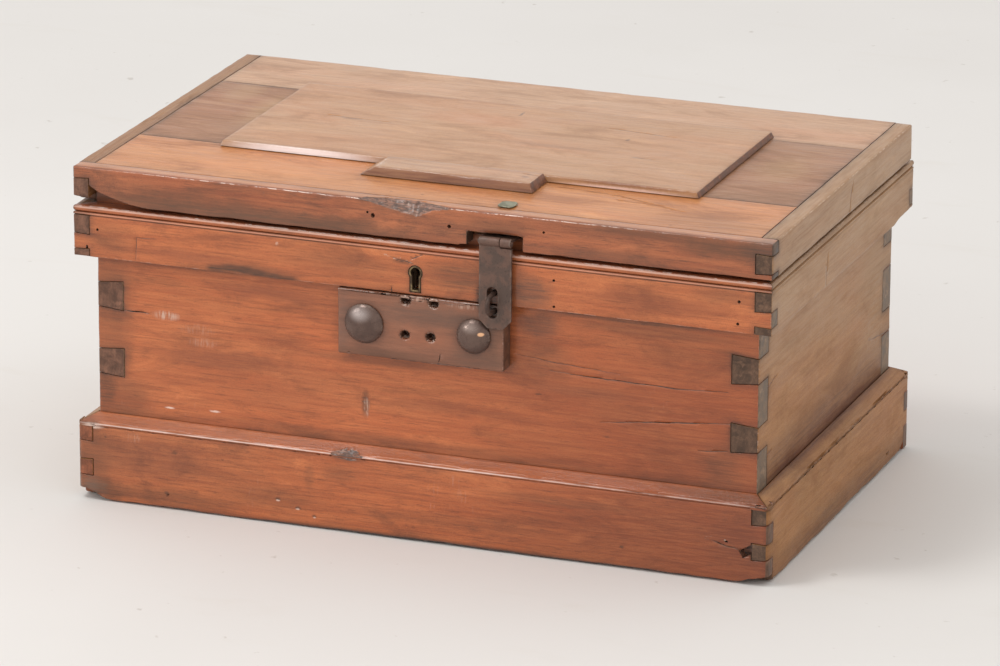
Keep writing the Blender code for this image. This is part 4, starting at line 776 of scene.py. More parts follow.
FRONT_MARKS = [
    *stains_and_painted_light((0, CASE_Y, 0),
            (-216, 0, 156.4, PALE, 0.75, 15, 10, 5), (-185.1, 0, 137.5, PALE, 0.28, 16, 10, 5),
            # (59, 204): painted shadow behind the strap's slot
            (-190, 0, 148, PALE, 0.15, 20, 10, 6), (59, 0, 204, GRIME_AND_SHADE, 0.98, 16, 30, 30),
            # (260, 100): painted shade, the light falling off towards the right end
            (260, 0, 100, (0.18, 0.037, 0.013), 0.66, 290, 20, 130),
            (-150, 0, 115, SOOTY, 0.22, 120, 20, 45), (-50, 0, 76, SOOTY, 0.3, 240, 20, 6),
            # (-214, 80.3) and (-175.4, 81.9): painted highlights
            (-214, 0, 80.3, RUBBED_AND_HIGHLIGHT, 0.85, 5, 10, 1.2), (-175.4, 0, 81.9, RUBBED_AND_HIGHLIGHT, 0.7, 6, 10, 1.2),
            (-40, 0, 140, SOOTY, 0.5, 90, 10, 6), (-170, 0, 125, (0.19, 0.055, 0.026), 0.5, 80, 10, 12),
            (30, 0, 108, (0.19, 0.05, 0.022), 0.45, 110, 10, 8),
            (130, 0, 135, (0.18, 0.05, 0.024), 0.5, 70, 10, 7),
            (-130, 0, 185, (0.2, 0.06, 0.03), 0.45, 70, 10, 9), (100, 0, 156, SOOTY, 0.5, 35, 10, 24),
            # (95, 185): the strap's painted shadow
            (95, 0, 185, (0.09, 0.052, 0.036), 0.7, 26, 10, 15),
            # the next two rows: painted shadow under the band's lower edge
            (170, 0, 197.5, (0.07, 0.036, 0.024), 0.8, 120, 10, 4.2),
            (-170, 0, 198.5, (0.09, 0.04, 0.024), 0.55, 120, 10, 2.6),
            (190, 0, 190, SOOTY, 0.4, 90, 10, 7), (-250, 0, 80, SOOTY, 0.55, 30, 10, 30),
            (245, 0, 85, SOOTY, 0.45, 25, 10, 30), (-47.8, 0, 104, STAIN, 0.9, 4.8, 10, 15),
            (-47, 0, 101, PALE, 0.7, 3, 10, 10), (152, 0, 101, STAIN, 0.6, 4, 10, 1.2),
            (96.2, 0, 129, STAIN, 0.6, 4, 10, 1.2), (-270, 0, 87, STAIN, 0.75, 16, 10, 24),
            (-262, 0, 160, SOOTY, 0.5, 25, 10, 80))]
SIDE_MARKS = [
    *stains_and_painted_light((CASE_X, 0, 0),
            # the next two rows: painted sheen, the bright surroundings reflected on the upper and back parts
            # of the side
            (0, 9.5, 250, (0.45, 0.3, 0.19), 0.75, 30, 400, 140),
            (0, 150, 130, (0.33, 0.225, 0.14), 0.4, 30, 90, 80),
            # darker towards the foot: partly dirt, partly painted shade where the plinth hides the floor's
            # reflection
            (0, 9.5, 70, (0.13, 0.046, 0.02), 0.85, 20, 320, 46), (0, 9.5, 70, RUSSET, 0.8, 20, 320, 14))]


def make_case():
    board("front_board", "carcase", "stained_pine", "front", "x", 3, (0, 1, 0), front_damage,
          marks=FRONT_MARKS)
    board("back_board", "carcase", "stained_pine", "front", "x", 5, (0, -1, 0))
    board("left_side_board", "carcase", "stained_pine", "left_side", "y", 7, (1, 0, 0), figure=0.5)
    board("right_side_board", "carcase", "stained_pine", "side", "y", 9, (-1, 0, 0), side_damage, figure=0.35,
          marks=SIDE_MARKS, coat=0.2, rough=0.46)
    for i, node in enumerate(("bottom_board_front", "bottom_board_back")):
        board(node, "carcase", "bare_pine", "bare", "x", 11 + i, (0, 0, 1), bare=True)


# ================================================================ plinth
PLINTH_FRONT, PLINTH_RIGHT = ("front", PLINTH_Y), ("right", PLINTH_X)
PLINTH_LOW = Vector((-PLINTH_X, PLINTH_Y, 0))
PLINTH_HIGH = Vector((PLINTH_X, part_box("plinth_back")[1].y, 0))
PLINTH_CUTS = {"x": [side * (PLINTH_X - at) for side in (-1, 1) for at in (0.0009, 0.0022, 0.0038)]}
PLINTH_DENTS = ((-0.1167, 0.0209, 0.0026), (-0.0997, 0.0155, 0.0024), (-0.0859, 0.0102, 0.002),
                (-0.2047, 0.0481, 0.0024), (-0.2639, 0.0541, 0.0012), (-0.2116, 0.0137, 0.0022),
                (-0.1637, 0.0472, 0.0012), (0.17, 0.018, 0.002))


def plinth_front_damage(bm):
    y, x = PLINTH_Y, PLINTH_X
    # chip on the top edge, and the corners broken off at the floor
    chip(bm, at_depth(y - 0.001, (-74.5, 64.2), (-70, 60.6), (-60, 59), (-52, 59.6), (-43, 64.2)),
         [(-0.0745, y + 0.001, 0.0652), (-0.069, y + 0.004, 0.0667), (-0.059, y + 0.0078, 0.0686),
          (-0.051, y + 0.006, 0.0677), (-0.043, y + 0.001, 0.0652)], (0, -0.006, 0.01), 5, 0.0012, 8, 0.0018)
    chip(bm, at_depth(y - 0.001, (-1000 * x - 2, 10), (-280, 9.4), (-273.5, 6.6), (-262, -1.2)),
         at_depth(y + 0.016, (-1000 * x - 2, 8), (-280, 7.4), (-273.5, 5), (-262, -1.6)),
         (0, 0, -0.014), 5, 0.0006)
    chip(bm, at_depth(y - 0.001, (262, -1.4), (274, 5), (1000 * x + 2, 8.4)),
         at_depth(y + 0.016, (262, -1.4), (274, 4.6), (1000 * x + 2, 7)), (0, 0, -0.012), 6, 0.0006)
    # triangular hole beside the broken pin, and the split that runs to it
    chip(bm, at_depth(y - 0.001, (265, 27.2), (270, 30), (276.6, 34.2)),
         at_depth(y + 0.009, (265, 27.2), (270, 29.6), (276.6, 33)), (0.0035, 0, -0.0058), 8, 0.0002)
    cracks(bm, PLINTH_FRONT, (3, 1, 2, (240, 33.8), (254, 30), (267, 27.5)))
    gouges(bm, PLINTH_FRONT, (4, 246, 34.5, 8, 2, 0.8), (9, 283, 66, 7, 3, 3))
    for i, (px, pz, r) in enumerate(PLINTH_DENTS):
        gouge(bm, PLINTH_FRONT, px, pz, (r, r * 0.6, 0.0018), 20 + i)


def plinth_right_damage(bm):
    y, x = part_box("plinth_right")[0].y, PLINTH_X
    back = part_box("plinth_right")[1].y
    for low, high in ((0.0625, 0.0675), (0.0328, 0.0493), (0.0053, 0.0209)):
        crack(bm, PLINTH_RIGHT, [(y + 0.0125, low), (y + 0.0132, high)], 0.0022, 0.005, round(low * 1000))
    # back corner worn round at the floor
    chip(bm, [(x + 0.001, back - 0.06, -0.001), (x + 0.001, back - 0.024, 0.0035),
              (x + 0.001, back + 0.001, 0.015)],
         [(x - 0.016, back - 0.06, -0.001), (x - 0.016, back - 0.024, 0.0025),
          (x - 0.016, back + 0.001, 0.012)],
         (0, 0.002, -0.014), 4, 0.0006)
    gouge(bm, PLINTH_RIGHT, 0.135, 0.0107, (0.0025, 0.002, 0.001), 31, detail=2)
    gouge(bm, PLINTH_RIGHT, back + 0.002, 0.067, (0.011, 0.01, 0.006), 32, 0.15)


PLINTH_MARKS = [
    *stains_and_painted_light((0, PLINTH_Y, 0),
            (0, 6.5, 67.5, (0.28, 0.085, 0.036), 0.45, 2000, 7, 4),
            # painted highlight line along the top arris
            (0, 0.8, 63.6, (0.92, 0.72, 0.64), 0.65, 2000, 1.2, 0.7),
            (265, 0, 33, SOOTY, 0.6, 45, 20, 40), (250, 0, 30, (0.17, 0.036, 0.014), 0.74, 260, 30, 60),
            (-278, 0, 25, SOOTY, 0.65, 30, 20, 45), (-220, 0, 40, (0.17, 0.05, 0.026), 0.5, 70, 20, 24),
            (-205, 0, 10, SOOTY, 0.55, 90, 20, 11), (-125, 0, 22, SOOTY, 0.35, 60, 20, 13),
            (120, 0, 48, SOOTY, 0.4, 80, 20, 6), (-262, 0, 10, STAIN, 0.6, 26, 20, 13),
            (-284, 0, 62, STAIN, 0.5, 20, 20, 9), (-59, 2, 64, STAIN, 0.75, 19, 10, 7),
            (260, 6, 68, (0.13, 0.05, 0.026), 0.75, 70, 12, 7), (-64, 0, 48, SOOTY, 0.4, 22, 20, 10),
            (-278, 0, 12, (0.16, 0.115, 0.085), 0.7, 16, 20, 12)),
    # dents: dark rims of dirt and painted shade, and on the first three a painted highlight on the lower half
    *(strip(x, PLINTH_Y, z, STAIN, 0.8, 1.4 * r, 0.02, 0.9 * r) for x, z, r in PLINTH_DENTS),
    *(strip(x, PLINTH_Y, z - r / 2, RUBBED_AND_HIGHLIGHT, 0.6, r, 0.02, 0.4 * r) for x, z, r in PLINTH_DENTS[:3]),
    *stains_and_painted_light((0, PLINTH_Y, 0),
            # dark line along the foot: dirt and the painted shadow of the gap under it
            (0, 0, 0, GRIME_AND_SHADE, 0.95, 300, 20, 6), (0, 0, 0, (0.03, 0.014, 0.009), 0.95, 300, 20, 3),
            (-90, 0, 42, SOOTY, 0.35, 6, 20, 16), (-240, 0, 56, PALE, 0.25, 10, 20, 5),
            # (-275, 62): pale rubbed wood with a painted highlight
            (-275, 0, 62, RUBBED_AND_HIGHLIGHT, 0.7, 12, 20, 3), (30, 0, 20, SOOTY, 0.3, 120, 20, 9))]
PLINTH_FOOT = strip(PLINTH_X - 0.013, 0.0095, 0.0706, RUSSET, 0.85, 0.01, 0.3, 0.006)
PLINTH_LOWER = strip(PLINTH_X, 0.0095, 0.0, SOOTY, 0.75, 0.03, 0.28, 0.03)


def round_corners(bm, low, high, radius):
    """Wears the upright corners of a frame of boards round, the same way in every board."""
    middle, reach = (low + high) / 2, (high - low) / 2 - Vector((radius, radius, 0))
    for vert in bm.verts:
        off = vert.co - middle
        over = Vector((abs(off.x) - reach.x, abs(off.y) - reach.y))
        if min(over) > 0 and over.length > radius:
            over *= radius / over.length
            vert.co.x = middle.x + math.copysign(reach.x + over.x, off.x)
            vert.co.y = middle.y + math.copysign(reach.y + over.y, off.y)


def plinth_shape(bm):
    """The foot has worn up unevenly, so only parts of it touch the floor."""
    round_corners(bm, PLINTH_LOW, PLINTH_HIGH, 0.0052)
    for vert in bm.verts:
        if vert.co.z < 0.006:
            share = 1 - max(0.0, vert.co.z) / 0.006
            wave = noise.noise(Vector((vert.co.x * 15, vert.co.y * 15, 2.0)))
            wave += 0.5 * noise.noise(vert.co * 60)
            vert.co.z += share * 0.0022 * max(0.0, 0.45 + wave)


def make_plinth():
    for i, (node, grain, damage, marks) in enumerate((
            ("plinth_front", "x", plinth_front_damage, PLINTH_MARKS), ("plinth_back", "x", None, ()),
            ("plinth_left", "y", None, ()),
            ("plinth_right", "y", plinth_right_damage, (PLINTH_FOOT, PLINTH_LOWER)))):
        tone = "plinth" if grain == "x" else "left_foot" if node.endswith("left") else "side"
        finish = {"figure": 1.15, "soil": 0.3, "rub": 0.4}
        if grain == "y":
            finish = {"figure": 0.5, "soil": 0.25 if node.endswith("left") else 0.6, "coat": 0.2,
                      "rough": 0.46, "rub": 0.3}
        board(node, "carcase", "stained_pine", tone, grain, 21 + 2 * i, damage=damage, arris=0.0021,
              wear=0.0012, marks=marks, shape=plinth_shape,
              extra=PLINTH_CUTS if grain == "x" else None, **finish)


# ================================================================ band with its bead
BAND_FRONT, BAND_RIGHT = ("front", BAND_Y), ("right", BAND_X)
BEAD_LOW = BAND_TOP - 0.008
QUIRK, SMALL_BEAD, MAIN_BEAD = 0.0007, 0.0014, 0.0026


def bead_depth(z):
    """How far the moulded edge lies behind the band's face at a height."""
    up = z - BEAD_LOW
    if up < 0:
        return 0.0
    for depth in (0.001, 0.0013):
        if up < QUIRK:
            return depth * math.sin(math.pi * up / QUIRK) ** 0.5
        up -= QUIRK
        if depth == 0.001:
            if up < SMALL_BEAD:
                t = up / SMALL_BEAD * 2 - 1
                return 0.0005 * (1 - math.sqrt(max(0.0, 1 - t * t)))
            up -= SMALL_BEAD
    t = min(1.0, abs(up / MAIN_BEAD - 1))
    return 0.0021 * (1 - math.sqrt(max(0.0, 1 - t * t)))


def cut_bead(side):
    """Moulds the outer face of the band on one side, and draws in its mitred ends to match."""
    k = 1 if side in ("front", "back") else 0
    outer = {"front": BAND_Y, "back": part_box("band_back")[1].y, "left": -BAND_X, "right": BAND_X}[side]
    other = 1 - k
    low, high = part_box("band_front")[0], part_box("band_back")[1]
    ends = (-BAND_X, BAND_X) if k == 1 else (low.y, high.y)
    inward = -1 if outer > 0 else 1

    def shape(bm):
        for vert in bm.verts:
            depth = bead_depth(vert.co.z)
            if depth <= 0:
                continue
            if abs(vert.co[k] - outer) < 0.0035:
                share = 1 - abs(vert.co[k] - outer) / 0.0035
                vert.co[k] += inward * depth * min(1.0, share * 1.3)
            for end, toward in zip(ends, (1, -1)):
                gap = abs(vert.co[other] - end)
                if gap < 0.003:
                    vert.co[other] += toward * depth * (1 - gap / 0.003)
    return shape


def band_front_damage(bm):
    # knotty, broken patch along the lower edge
    dents(bm, BAND_FRONT, 40, 0.55, 3, (-166, 204.5, 10, 3.5, 2), (-150, 206, 12, 4, 1.6),
          (-132, 205, 14, 4, 1.8), (-112, 202, 14, 3, 2.2))
    holes(bm, BAND_FRONT, 60, 0.003, (-268.2, 225.2, 1), (112.9, 226.8, 1), (113.1, 205.8, 1),
          (261.6, 209.2, 1.2), (262.5, 227, 1.2))
    cracks(bm, BAND_FRONT, (2, 3, 6, (-277.5, 201.5), (-277.2, 211.5)),
                           (3, 0.4, 0.6, (-235.6, 204), (-234.9, 222.2), (-218, 223)))
    # scratches round the keyhole
    cracks(bm, BAND_FRONT, (4, 1, 0.6, (-21.5, 231.2), (-12, 229), (-2, 227.2)),
                           (5, 1.2, 0.6, (-5, 230), (5.2, 235)),
                           (6, 0.9, 1, (-20.2, 207.5), (-20.4, 201.8)))
    dents(bm, BAND_FRONT, 80, 0.5, 2, (-30, 241, 5, 1.6, 1.6), (-20, 240.5, 4, 2.4, 1.8),
          (-10, 241.2, 4.5, 1.4, 1.4), (164, 242.5, 3, 1.2, 1.2), (-210.5, 201.8, 3, 1.2, 1),
          (-240, 201.6, 5, 1, 1))


def band_right_damage(bm):
    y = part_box("band_right")[1].y
    cracks(bm, BAND_RIGHT, (5, 0.6, 1, (-36.5, 229), (-38.5, 203)))
    chip(bm, [(BAND_X + 0.001, y - 0.056, 0.201), (BAND_X + 0.001, y - 0.04, 0.2046),
              (BAND_X + 0.001, y + 0.001, 0.206)],
         [(BAND_X - 0.015, y - 0.056, 0.201), (BAND_X - 0.015, y - 0.04, 0.2038),
          (BAND_X - 0.015, y + 0.001, 0.205)],
         (0, 0.001, -0.008), 9, 0.0005)


KNOTTY = ((-0.168, 0.2045), (-0.156, 0.2062), (-0.144, 0.2056), (-0.132, 0.2045),
          (-0.118, 0.203), (-0.106, 0.2022))
BAND_MARKS = [
    *stains_and_painted_light((0, BAND_Y, 0),
            # (92, 216): the strap's painted shadow
            (35, 0, 220, SOOTY, 0.75, 38, 10, 20), (92, 0, 216, (0.09, 0.052, 0.036), 0.8, 30, 10, 20)),
    *(strip(x, BAND_Y, z, PALE, 0.75, 0.0026, 0.01, 0.0009) for x, z in (
        (-0.026, 0.2322), (-0.0225, 0.2312), (-0.018, 0.23), (-0.014, 0.2306), (-0.0095, 0.2292),
        (-0.0055, 0.228))),
    *(strip(x, BAND_Y, z, STAIN, 0.75, 0.0024, 0.01, 0.0008) for x, z in (
        (-0.004, 0.2325), (0.0, 0.234), (0.004, 0.2352), (-0.012, 0.228), (-0.016, 0.2288))),
    *stains_and_painted_light((0, BAND_Y, 0),
            (0, 0, 242, (0.16, 0.11, 0.08), 0.55, 26, 10, 4), (-130, 0, 207, SOOTY, 0.65, 45, 10, 6),
            (-258, 0, 217, SOOTY, 0.3, 26, 10, 20), (-12, 0, 228, GRIME_AND_SHADE, 0.6, 12, 10, 3),
            # (-240, 201.7) and (-211, 201.7): pale rubbed wood with painted highlights along the lower edge
            (-240, 0, 201.7, RUBBED_AND_HIGHLIGHT, 0.9, 7, 10, 1.2), (-211, 0, 201.7, RUBBED_AND_HIGHLIGHT, 0.8, 4, 10, 1.2),
            # (60, 204) and (59, 210): painted shadow behind the strap's slot
            (250, 0, 230, SOOTY, 0.4, 35, 10, 10), (60, 0, 204, GRIME_AND_SHADE, 0.98, 16, 30, 26),
            (59, 0, 210, GRIME_AND_SHADE, 0.98, 12, 30, 22)),
    *(strip(x, BAND_Y, z, STAIN, 0.95, 0.012, 0.02, 0.0052) for x, z in KNOTTY),
    *stains_and_painted_light((0, BAND_Y, 0),
            (-116, 0, 230.7, PALE, 0.8, 1.6, 10, 2.2), (-60, 0, 220, SOOTY, 0.3, 70, 20, 16),
            (-190, 0, 212, (0.2, 0.055, 0.028), 0.4, 70, 20, 7),
            (190, 0, 218, (0.19, 0.048, 0.022), 0.5, 90, 20, 11)),
    # on the bead: a painted highlight line at -1.7 mm and another on the small bead at -6.3 mm, and painted
    # shade in the two quirks at -5.3 and -7.7 mm
    *stains_and_painted_light((0, BAND_Y, BAND_TOP),
            (0, 0, -0.4, (0.16, 0.045, 0.024), 0.6, 2000, 20, 1.2),
            (0, 0, -1.7, (0.9, 0.62, 0.51), 0.55, 2000, 20, 0.9),
            (0, 0, -6.3, (0.75, 0.4, 0.29), 0.5, 2000, 20, 0.9), (0, 0, -7.7, GRIME_AND_SHADE, 0.8, 2000, 20, 0.8),
            (0, 0, -5.3, GRIME_AND_SHADE, 0.7, 2000, 20, 0.8))]


# painted sheen: the bright surroundings reflected on the upper right sides of band and rim
SIDE_SHEEN = (strip(BAND_X, 0.0095, 0.25, (0.44, 0.3, 0.19), 0.55, 0.05, 0.6, 0.09),)


def make_band():
    fine = [BEAD_LOW + 0.00035 * i for i in range(1, 23)]
    for i, (side, grain, damage) in enumerate((("front", "x", band_front_damage), ("back", "x", None),
                                               ("left", "y", None), ("right", "y", band_right_damage))):
        tone = "front" if grain == "x" else "left_side" if side == "left" else "side"
        board("band_" + side, "carcase", "stained_pine", tone, grain, 31 + 2 * i, damage=damage,
              shape=cut_bead(side), extra={"z": fine}, arris=0.0008, figure=1.0 if grain == "x" else 0.4,
              coat=0.55 if grain == "x" else 0.2, rub=1.0 if grain == "x" else 0.3,
              marks=BAND_MARKS if side == "front" else SIDE_SHEEN if side == "right" else ())


# ================================================================ lid
RIM_FRONT, TOP = ("front", RIM_Y), ("top", LID_TOP)
RIM_RIGHT = ("right", RIM_X)


def rim_front_damage(bm):
    y, x = RIM_Y, RIM_X
    # the lower left corner is broken away
    lower = [(-x - 0.003, 0.2645), (-0.2789, 0.2636), (-0.2686, 0.2569), (-0.2507, 0.2511), (-0.2323, 0.247),
             (-0.2215, 0.2448)]
    chip(bm, [(px, y - 0.002, pz) for px, pz in lower], [(px, y + 0.0155, pz - 0.0006) for px, pz in lower],
         (0, 0, -0.024), 3, 0.0004, 5)
    # a long splinter off the top edge
    front = at_depth(y - 0.001, (-48, 274.5), (-38, 272.2), (-24, 269.5), (-10, 266.8), (0.6, 264), (8, 269),
                 (16, 271.5), (28, 274))
    back = [(p[0], y + depth / 1000, 0.2758) for p, depth in zip(front, (3, 6, 8.5, 9.5, 9, 7, 4.5, 2))]
    chip(bm, front, back, (0, -0.008, 0.01), 5, 0.0011, 8)
    holes(bm, RIM_FRONT, 90, 0.005, (-35.8, 262.6, 1.7), (-40.3, 264.7, 0.9), (27.2, 260.6, 1.4),
          (104.4, 264.3, 1))
    # ledge at the notch's lower left, and a corner worn off at the right
    ledge = (33.5, 245), (36, 247.4), (42.5, 248)
    chip(bm, at_depth(y - 0.002, *ledge), at_depth(y + 0.016, *ledge), (0.0002, 0, -0.006), 7, 0.0002)
    dents(bm, RIM_FRONT, 100, 0.5, 3, (285, 274, 6, 3, 4), (-286, 274.5, 6, 3, 4), (240, 275.8, 12, 1.2, 1.4),
          (195, 275.8, 9, 1, 1.2), (70, 275.7, 16, 1.4, 1.6), (45, 275.6, 9, 1.2, 1.4),
          (-200, 275.8, 18, 1, 1), (-140, 275.7, 12, 1, 1.2), (-90, 275.8, 10, 1, 1.2),
          (135, 275.7, 10, 1, 1.2))


def rim_side_shape(bm):
    round_corners(bm, Vector((-RIM_X, RIM_Y, 0)), Vector((RIM_X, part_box("lid_rim_right")[1].y, 0)), 0.003)


def rim_front_shape(bm):
    """The corners are worn round, and the lower edge isn't quite straight."""
    rim_side_shape(bm)
    for vert in bm.verts:
        if vert.co.z < RIM_LOW + 0.004:
            share = 1 - (vert.co.z - RIM_LOW) / 0.004
            vert.co.z += share * 0.0011 * (0.5 + 0.5 * noise.noise(Vector((vert.co.x * 22, 4.0, 0.0))))


def rim_left_damage(bm):
    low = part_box("lid_rim_left")[0].y
    gouges(bm, ("front", low), (7, -274.5, 256.5, 4.5, 7.5, 9, 0.2), (8, -289.5, 249, 2, 2, 8, 0.2))


def rim_right_damage(bm):
    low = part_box("lid_rim_right")[0].y
    gouges(bm, ("front", low), (3, 282.5, 261, 5.8, 6.5, 4, 0.4))
    gouge(bm, ("front", low), RIM_X, 0.26, (0.0018, 0.012, 0.002), 4, 0.5)
    gouge(bm, RIM_RIGHT, low + 0.0125, 0.2695, (0.0012, 0.003, 0.003), 5, 0.3)
    gouge(bm, RIM_RIGHT, low + 0.0125, 0.2475, (0.0012, 0.004, 0.003), 6, 0.3)
    cracks(bm, RIM_RIGHT, (5, 0.6, 1, (25, 270.5), (20, 260), (16.7, 246.5)))
    for i, y in enumerate((-0.14, -0.096, -0.03, 0.06, 0.12)):
        gouge(bm, RIM_RIGHT, y, LID_TOP, (0.012, 0.0012, 0.0012), 50 + i, 0.5, 2)


def stile_front_damage(bm):
    cracks(bm, TOP, (3, 0.5, 0.8, (74.5, -85.4), (138.1, -93.8), (199.7, -117.8)),
                    (4, 0.4, 0.8, (140, -104.5), (180, -109)))


def panel_damage(bm):
    face = ("top", PANEL_TOP)
    cracks(bm, face, (3, 0.7, 1, (115, -6), (136.4, -7.6)), (4, 0.5, 0.8, (72, 64), (131, 57.5)),
                     (5, 0.4, 0.6, (-150, 18), (-95, 16)))


def panel_shape(bm):
    """The panel's edges are planed to a slope."""
    low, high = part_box("lid_raised_panel")
    for vert in bm.verts:
        up = (vert.co.z - LID_TOP) / (PANEL_TOP - LID_TOP)
        if up < 0.02:
            continue
        up = min(1.0, up)
        for k, sign, edge in ((0, 1, low.x), (0, -1, high.x), (1, 1, low.y), (1, -1, high.y)):
            gap = abs(vert.co[k] - edge)
            if gap < 0.006:
                vert.co[k] += sign * 0.0022 * up * (1 - gap / 0.006)


def batten_damage(bm):
    low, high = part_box("lid_front_batten")
    face = ("front", low.y)
    gouge(bm, face, 0.0045, LID_TOP + 0.0004, (0.0075, 0.0014, 0.007), 3, 0.15)
    gouge(bm, ("back", high.y), 0.0195, LID_TOP + 0.007, (0.007, 0.005, 0.002), 4, 0.15)
    gouges(bm, ("top", high.z), (5, 61, -96, 2, 1.4, 0.7, 0.4, 2))
    cracks(bm, ("top", high.z), (6, 0.5, 1, (56, -88), (70, -90)))
    for i, x in enumerate((-0.055, -0.03, 0.03, 0.052)):
        gouge(bm, face, x, LID_TOP + 0.001 + 0.0012 * (i % 2), (0.006, 0.001, 0.0008), 130 + i, 0.4, 2)


PANEL_LOW, PANEL_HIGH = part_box("lid_raised_panel")
BATTEN_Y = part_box("lid_front_batten")[0].y
# painted shade in the notch round the hasp's hinge
NOTCH_SHADE = strip(0.064, RIM_Y + 0.015, 0.254, GRIME_AND_SHADE, 0.98, 0.03, 0.0125, 0.015)
RIM_MARKS = [
    NOTCH_SHADE,
    *stains_and_painted_light((0, RIM_Y, LID_TOP),
            (0, 9, 0, (0.58, 0.24, 0.085), 0.8, 2000, 9, 2),
            (0, 1.6, 0, (0.085, 0.035, 0.02), 0.55, 2000, 1, 2)),
    *stains_and_painted_light((0, RIM_Y, 0),
            (-130, 0, 250, (0.13, 0.066, 0.038), 0.8, 170, 10, 12),
            (282, 0, 270, (0.095, 0.056, 0.04), 0.85, 30, 20, 12), (-190, 0, 258, SOOTY, 0.6, 95, 10, 12),
            (-225, 0, 252, SOOTY, 0.55, 50, 10, 8), (150, 0, 252, (0.15, 0.062, 0.034), 0.6, 80, 10, 7),
            (-70, 0, 253, SOOTY, 0.55, 60, 10, 8), (250, 0, 266, SOOTY, 0.8, 55, 10, 12),
            (200, 0, 272, SOOTY, 0.65, 90, 10, 6), (70, 0, 265, SOOTY, 0.45, 40, 10, 9))]
STILE_MARKS = [
    NOTCH_SHADE,
    *(strip(x, y, LID_TOP, STAIN, 0.85, 0.0022, 0.0013, 0.01) for x, y in (
        (-0.0309, -0.1467), (-0.005, -0.1462), (-0.136, -0.0963), (0.2, -0.153))),
    *stains_and_painted_light((0, 0, LID_TOP),
            (220, -140, 0, SOOTY, 0.4, 70, 30, 10), (-150, -125, 0, (0.7, 0.27, 0.09), 0.45, 90, 25, 10))]
PANEL_MARKS = [
    *stains_and_painted_light((0, PANEL_LOW.y, LID_TOP),
            # pale bare wood along the front left edge, with a painted highlight on it
            (-133, 0, 2.5, (0.98, 0.82, 0.78), 1, 85, 5.6, 12)),
    *stains_and_painted_light((0, PANEL_LOW.y, PANEL_TOP),
            (-133, 5, 0, (0.2, 0.075, 0.038), 0.75, 85, 1, 2)),
    *stains_and_painted_light((0, PANEL_LOW.y, LID_TOP),
            # painted highlight along the lower front edge at the right
            (137, 0, 0.6, (0.85, 0.55, 0.45), 0.9, 75, 6, 2.6),
            (137, 0, 4.5, (0.2, 0.06, 0.03), 0.85, 75, 6, 2.4)),
    *stains_and_painted_light((PANEL_HIGH.x, 0, LID_TOP),
            (0, 0, 2.5, (0.055, 0.022, 0.013), 0.92, 4, 150, 5)),
    *stains_and_painted_light((0, 0, PANEL_TOP),
            (-6.2, 77, 0, STAIN, 0.85, 1.6, 8.5, 4), (97.9, 37.6, 0, STAIN, 0.8, 2.6, 4, 4),
            (-129, 15, 0, SOOTY, 0.55, 12, 3, 4), (50, 0, 0, SOOTY, 0.3, 70, 6, 4),
            (-30, 48, 0, (0.55, 0.22, 0.1), 0.45, 80, 25, 4))]
BATTEN_MARKS = [
    *stains_and_painted_light((0, BATTEN_Y, LID_TOP),
            (0, 1, 3.5, (0.2, 0.07, 0.034), 0.95, 400, 6, 8.5)),
    *stains_and_painted_light((0, 0, LID_TOP),
            (61, -96, 7.5, SOOTY, 0.6, 5, 4, 3))]


END_BOARD_MARKS = [
    *stains_and_painted_light((0, 0, LID_TOP),
            (-200, 30, 0, (0.52, 0.31, 0.13), 0.55, 30, 70, 10),
            (-245, 70, 0, (0.45, 0.26, 0.12), 0.45, 20, 50, 10),
            (235, 20, 0, (0.44, 0.25, 0.115), 0.5, 30, 60, 10)),
    *stains_and_painted_light((0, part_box("lid_left_end_board")[1].y, LID_TOP),
            (-235, 0, 0, GRIME_AND_SHADE, 0.95, 48, 2.2, 10))]


def make_lid():
    board("lid_front_stile", "lid", "lid_pine", "top", "x", 51, (0, 0, -1), stile_front_damage, soil=0.6,
          marks=STILE_MARKS, figure=0.8, coat=0.35)
    board("lid_back_stile", "lid", "lid_pine", "back_stile", "x", 53, (0, 0, -1), soil=0.6, figure=0.8,
          coat=0.4)
    for i, side in enumerate(("left", "right")):
        board(f"lid_{side}_end_board", "lid", "lid_pine", "end_board", "x", 55 + 2 * i, (0, 0, -1),
              soil=1.0, figure=0.5, marks=END_BOARD_MARKS, coat=0.3)
    board("lid_raised_panel", "lid", "lid_pine", "panel", "x", 59, (0, 0, -1), panel_damage, panel_shape,
          soil=0.4, extra={"z": [LID_TOP + 0.0012 * i for i in range(1, 5)]}, arris=0.0009,
          marks=PANEL_MARKS, figure=0.6, rub=0.25, coat=0.4)
    board("lid_front_batten", "lid", "lid_pine", "panel", "x", 61, None, batten_damage,
          steps=(0.003, 0.002, 0.0015), arris=0.0008, marks=BATTEN_MARKS, figure=0.7, soil=0.6, rub=0.35)
    board("lid_rim_front", "lid", "lid_pine", "rim", "x", 63, None, rim_front_damage, rim_front_shape,
          steps=(0.004, 0.0025, 0.0025), arris=0.0014, wear=0.0011, marks=RIM_MARKS)
    board("lid_rim_left", "lid", "lid_pine", "left_side", "y", 65, None, rim_left_damage, rim_side_shape,
          arris=0.0012, wear=0.0009, figure=0.6, coat=0.25)
    board("lid_rim_right", "lid", "lid_pine", "side", "y", 67, None, rim_right_damage, rim_side_shape,
          arris=0.0014, wear=0.001, figure=0.6, coat=0.25, rub=0.5, marks=SIDE_SHEEN)


# ================================================================ block and ironwork
BLOCK_FRONT = ("front", BLOCK_Y)


def block_damage(bm):
    cracks(bm, BLOCK_FRONT, (3, 0.7, 1.4, (20.5, 157.5), (19.5, 150.5)))
    gouges(bm, BLOCK_FRONT, (4, 3, 199, 9, 1.6, 0.9, 0.5), (5, 30, 199.5, 11, 1.4, 0.7, 0.5),
                            (6, 15, 148, 50, 1.6, 1.2, 0.5), (7, -61, 149, 6, 3, 2, 0.4))


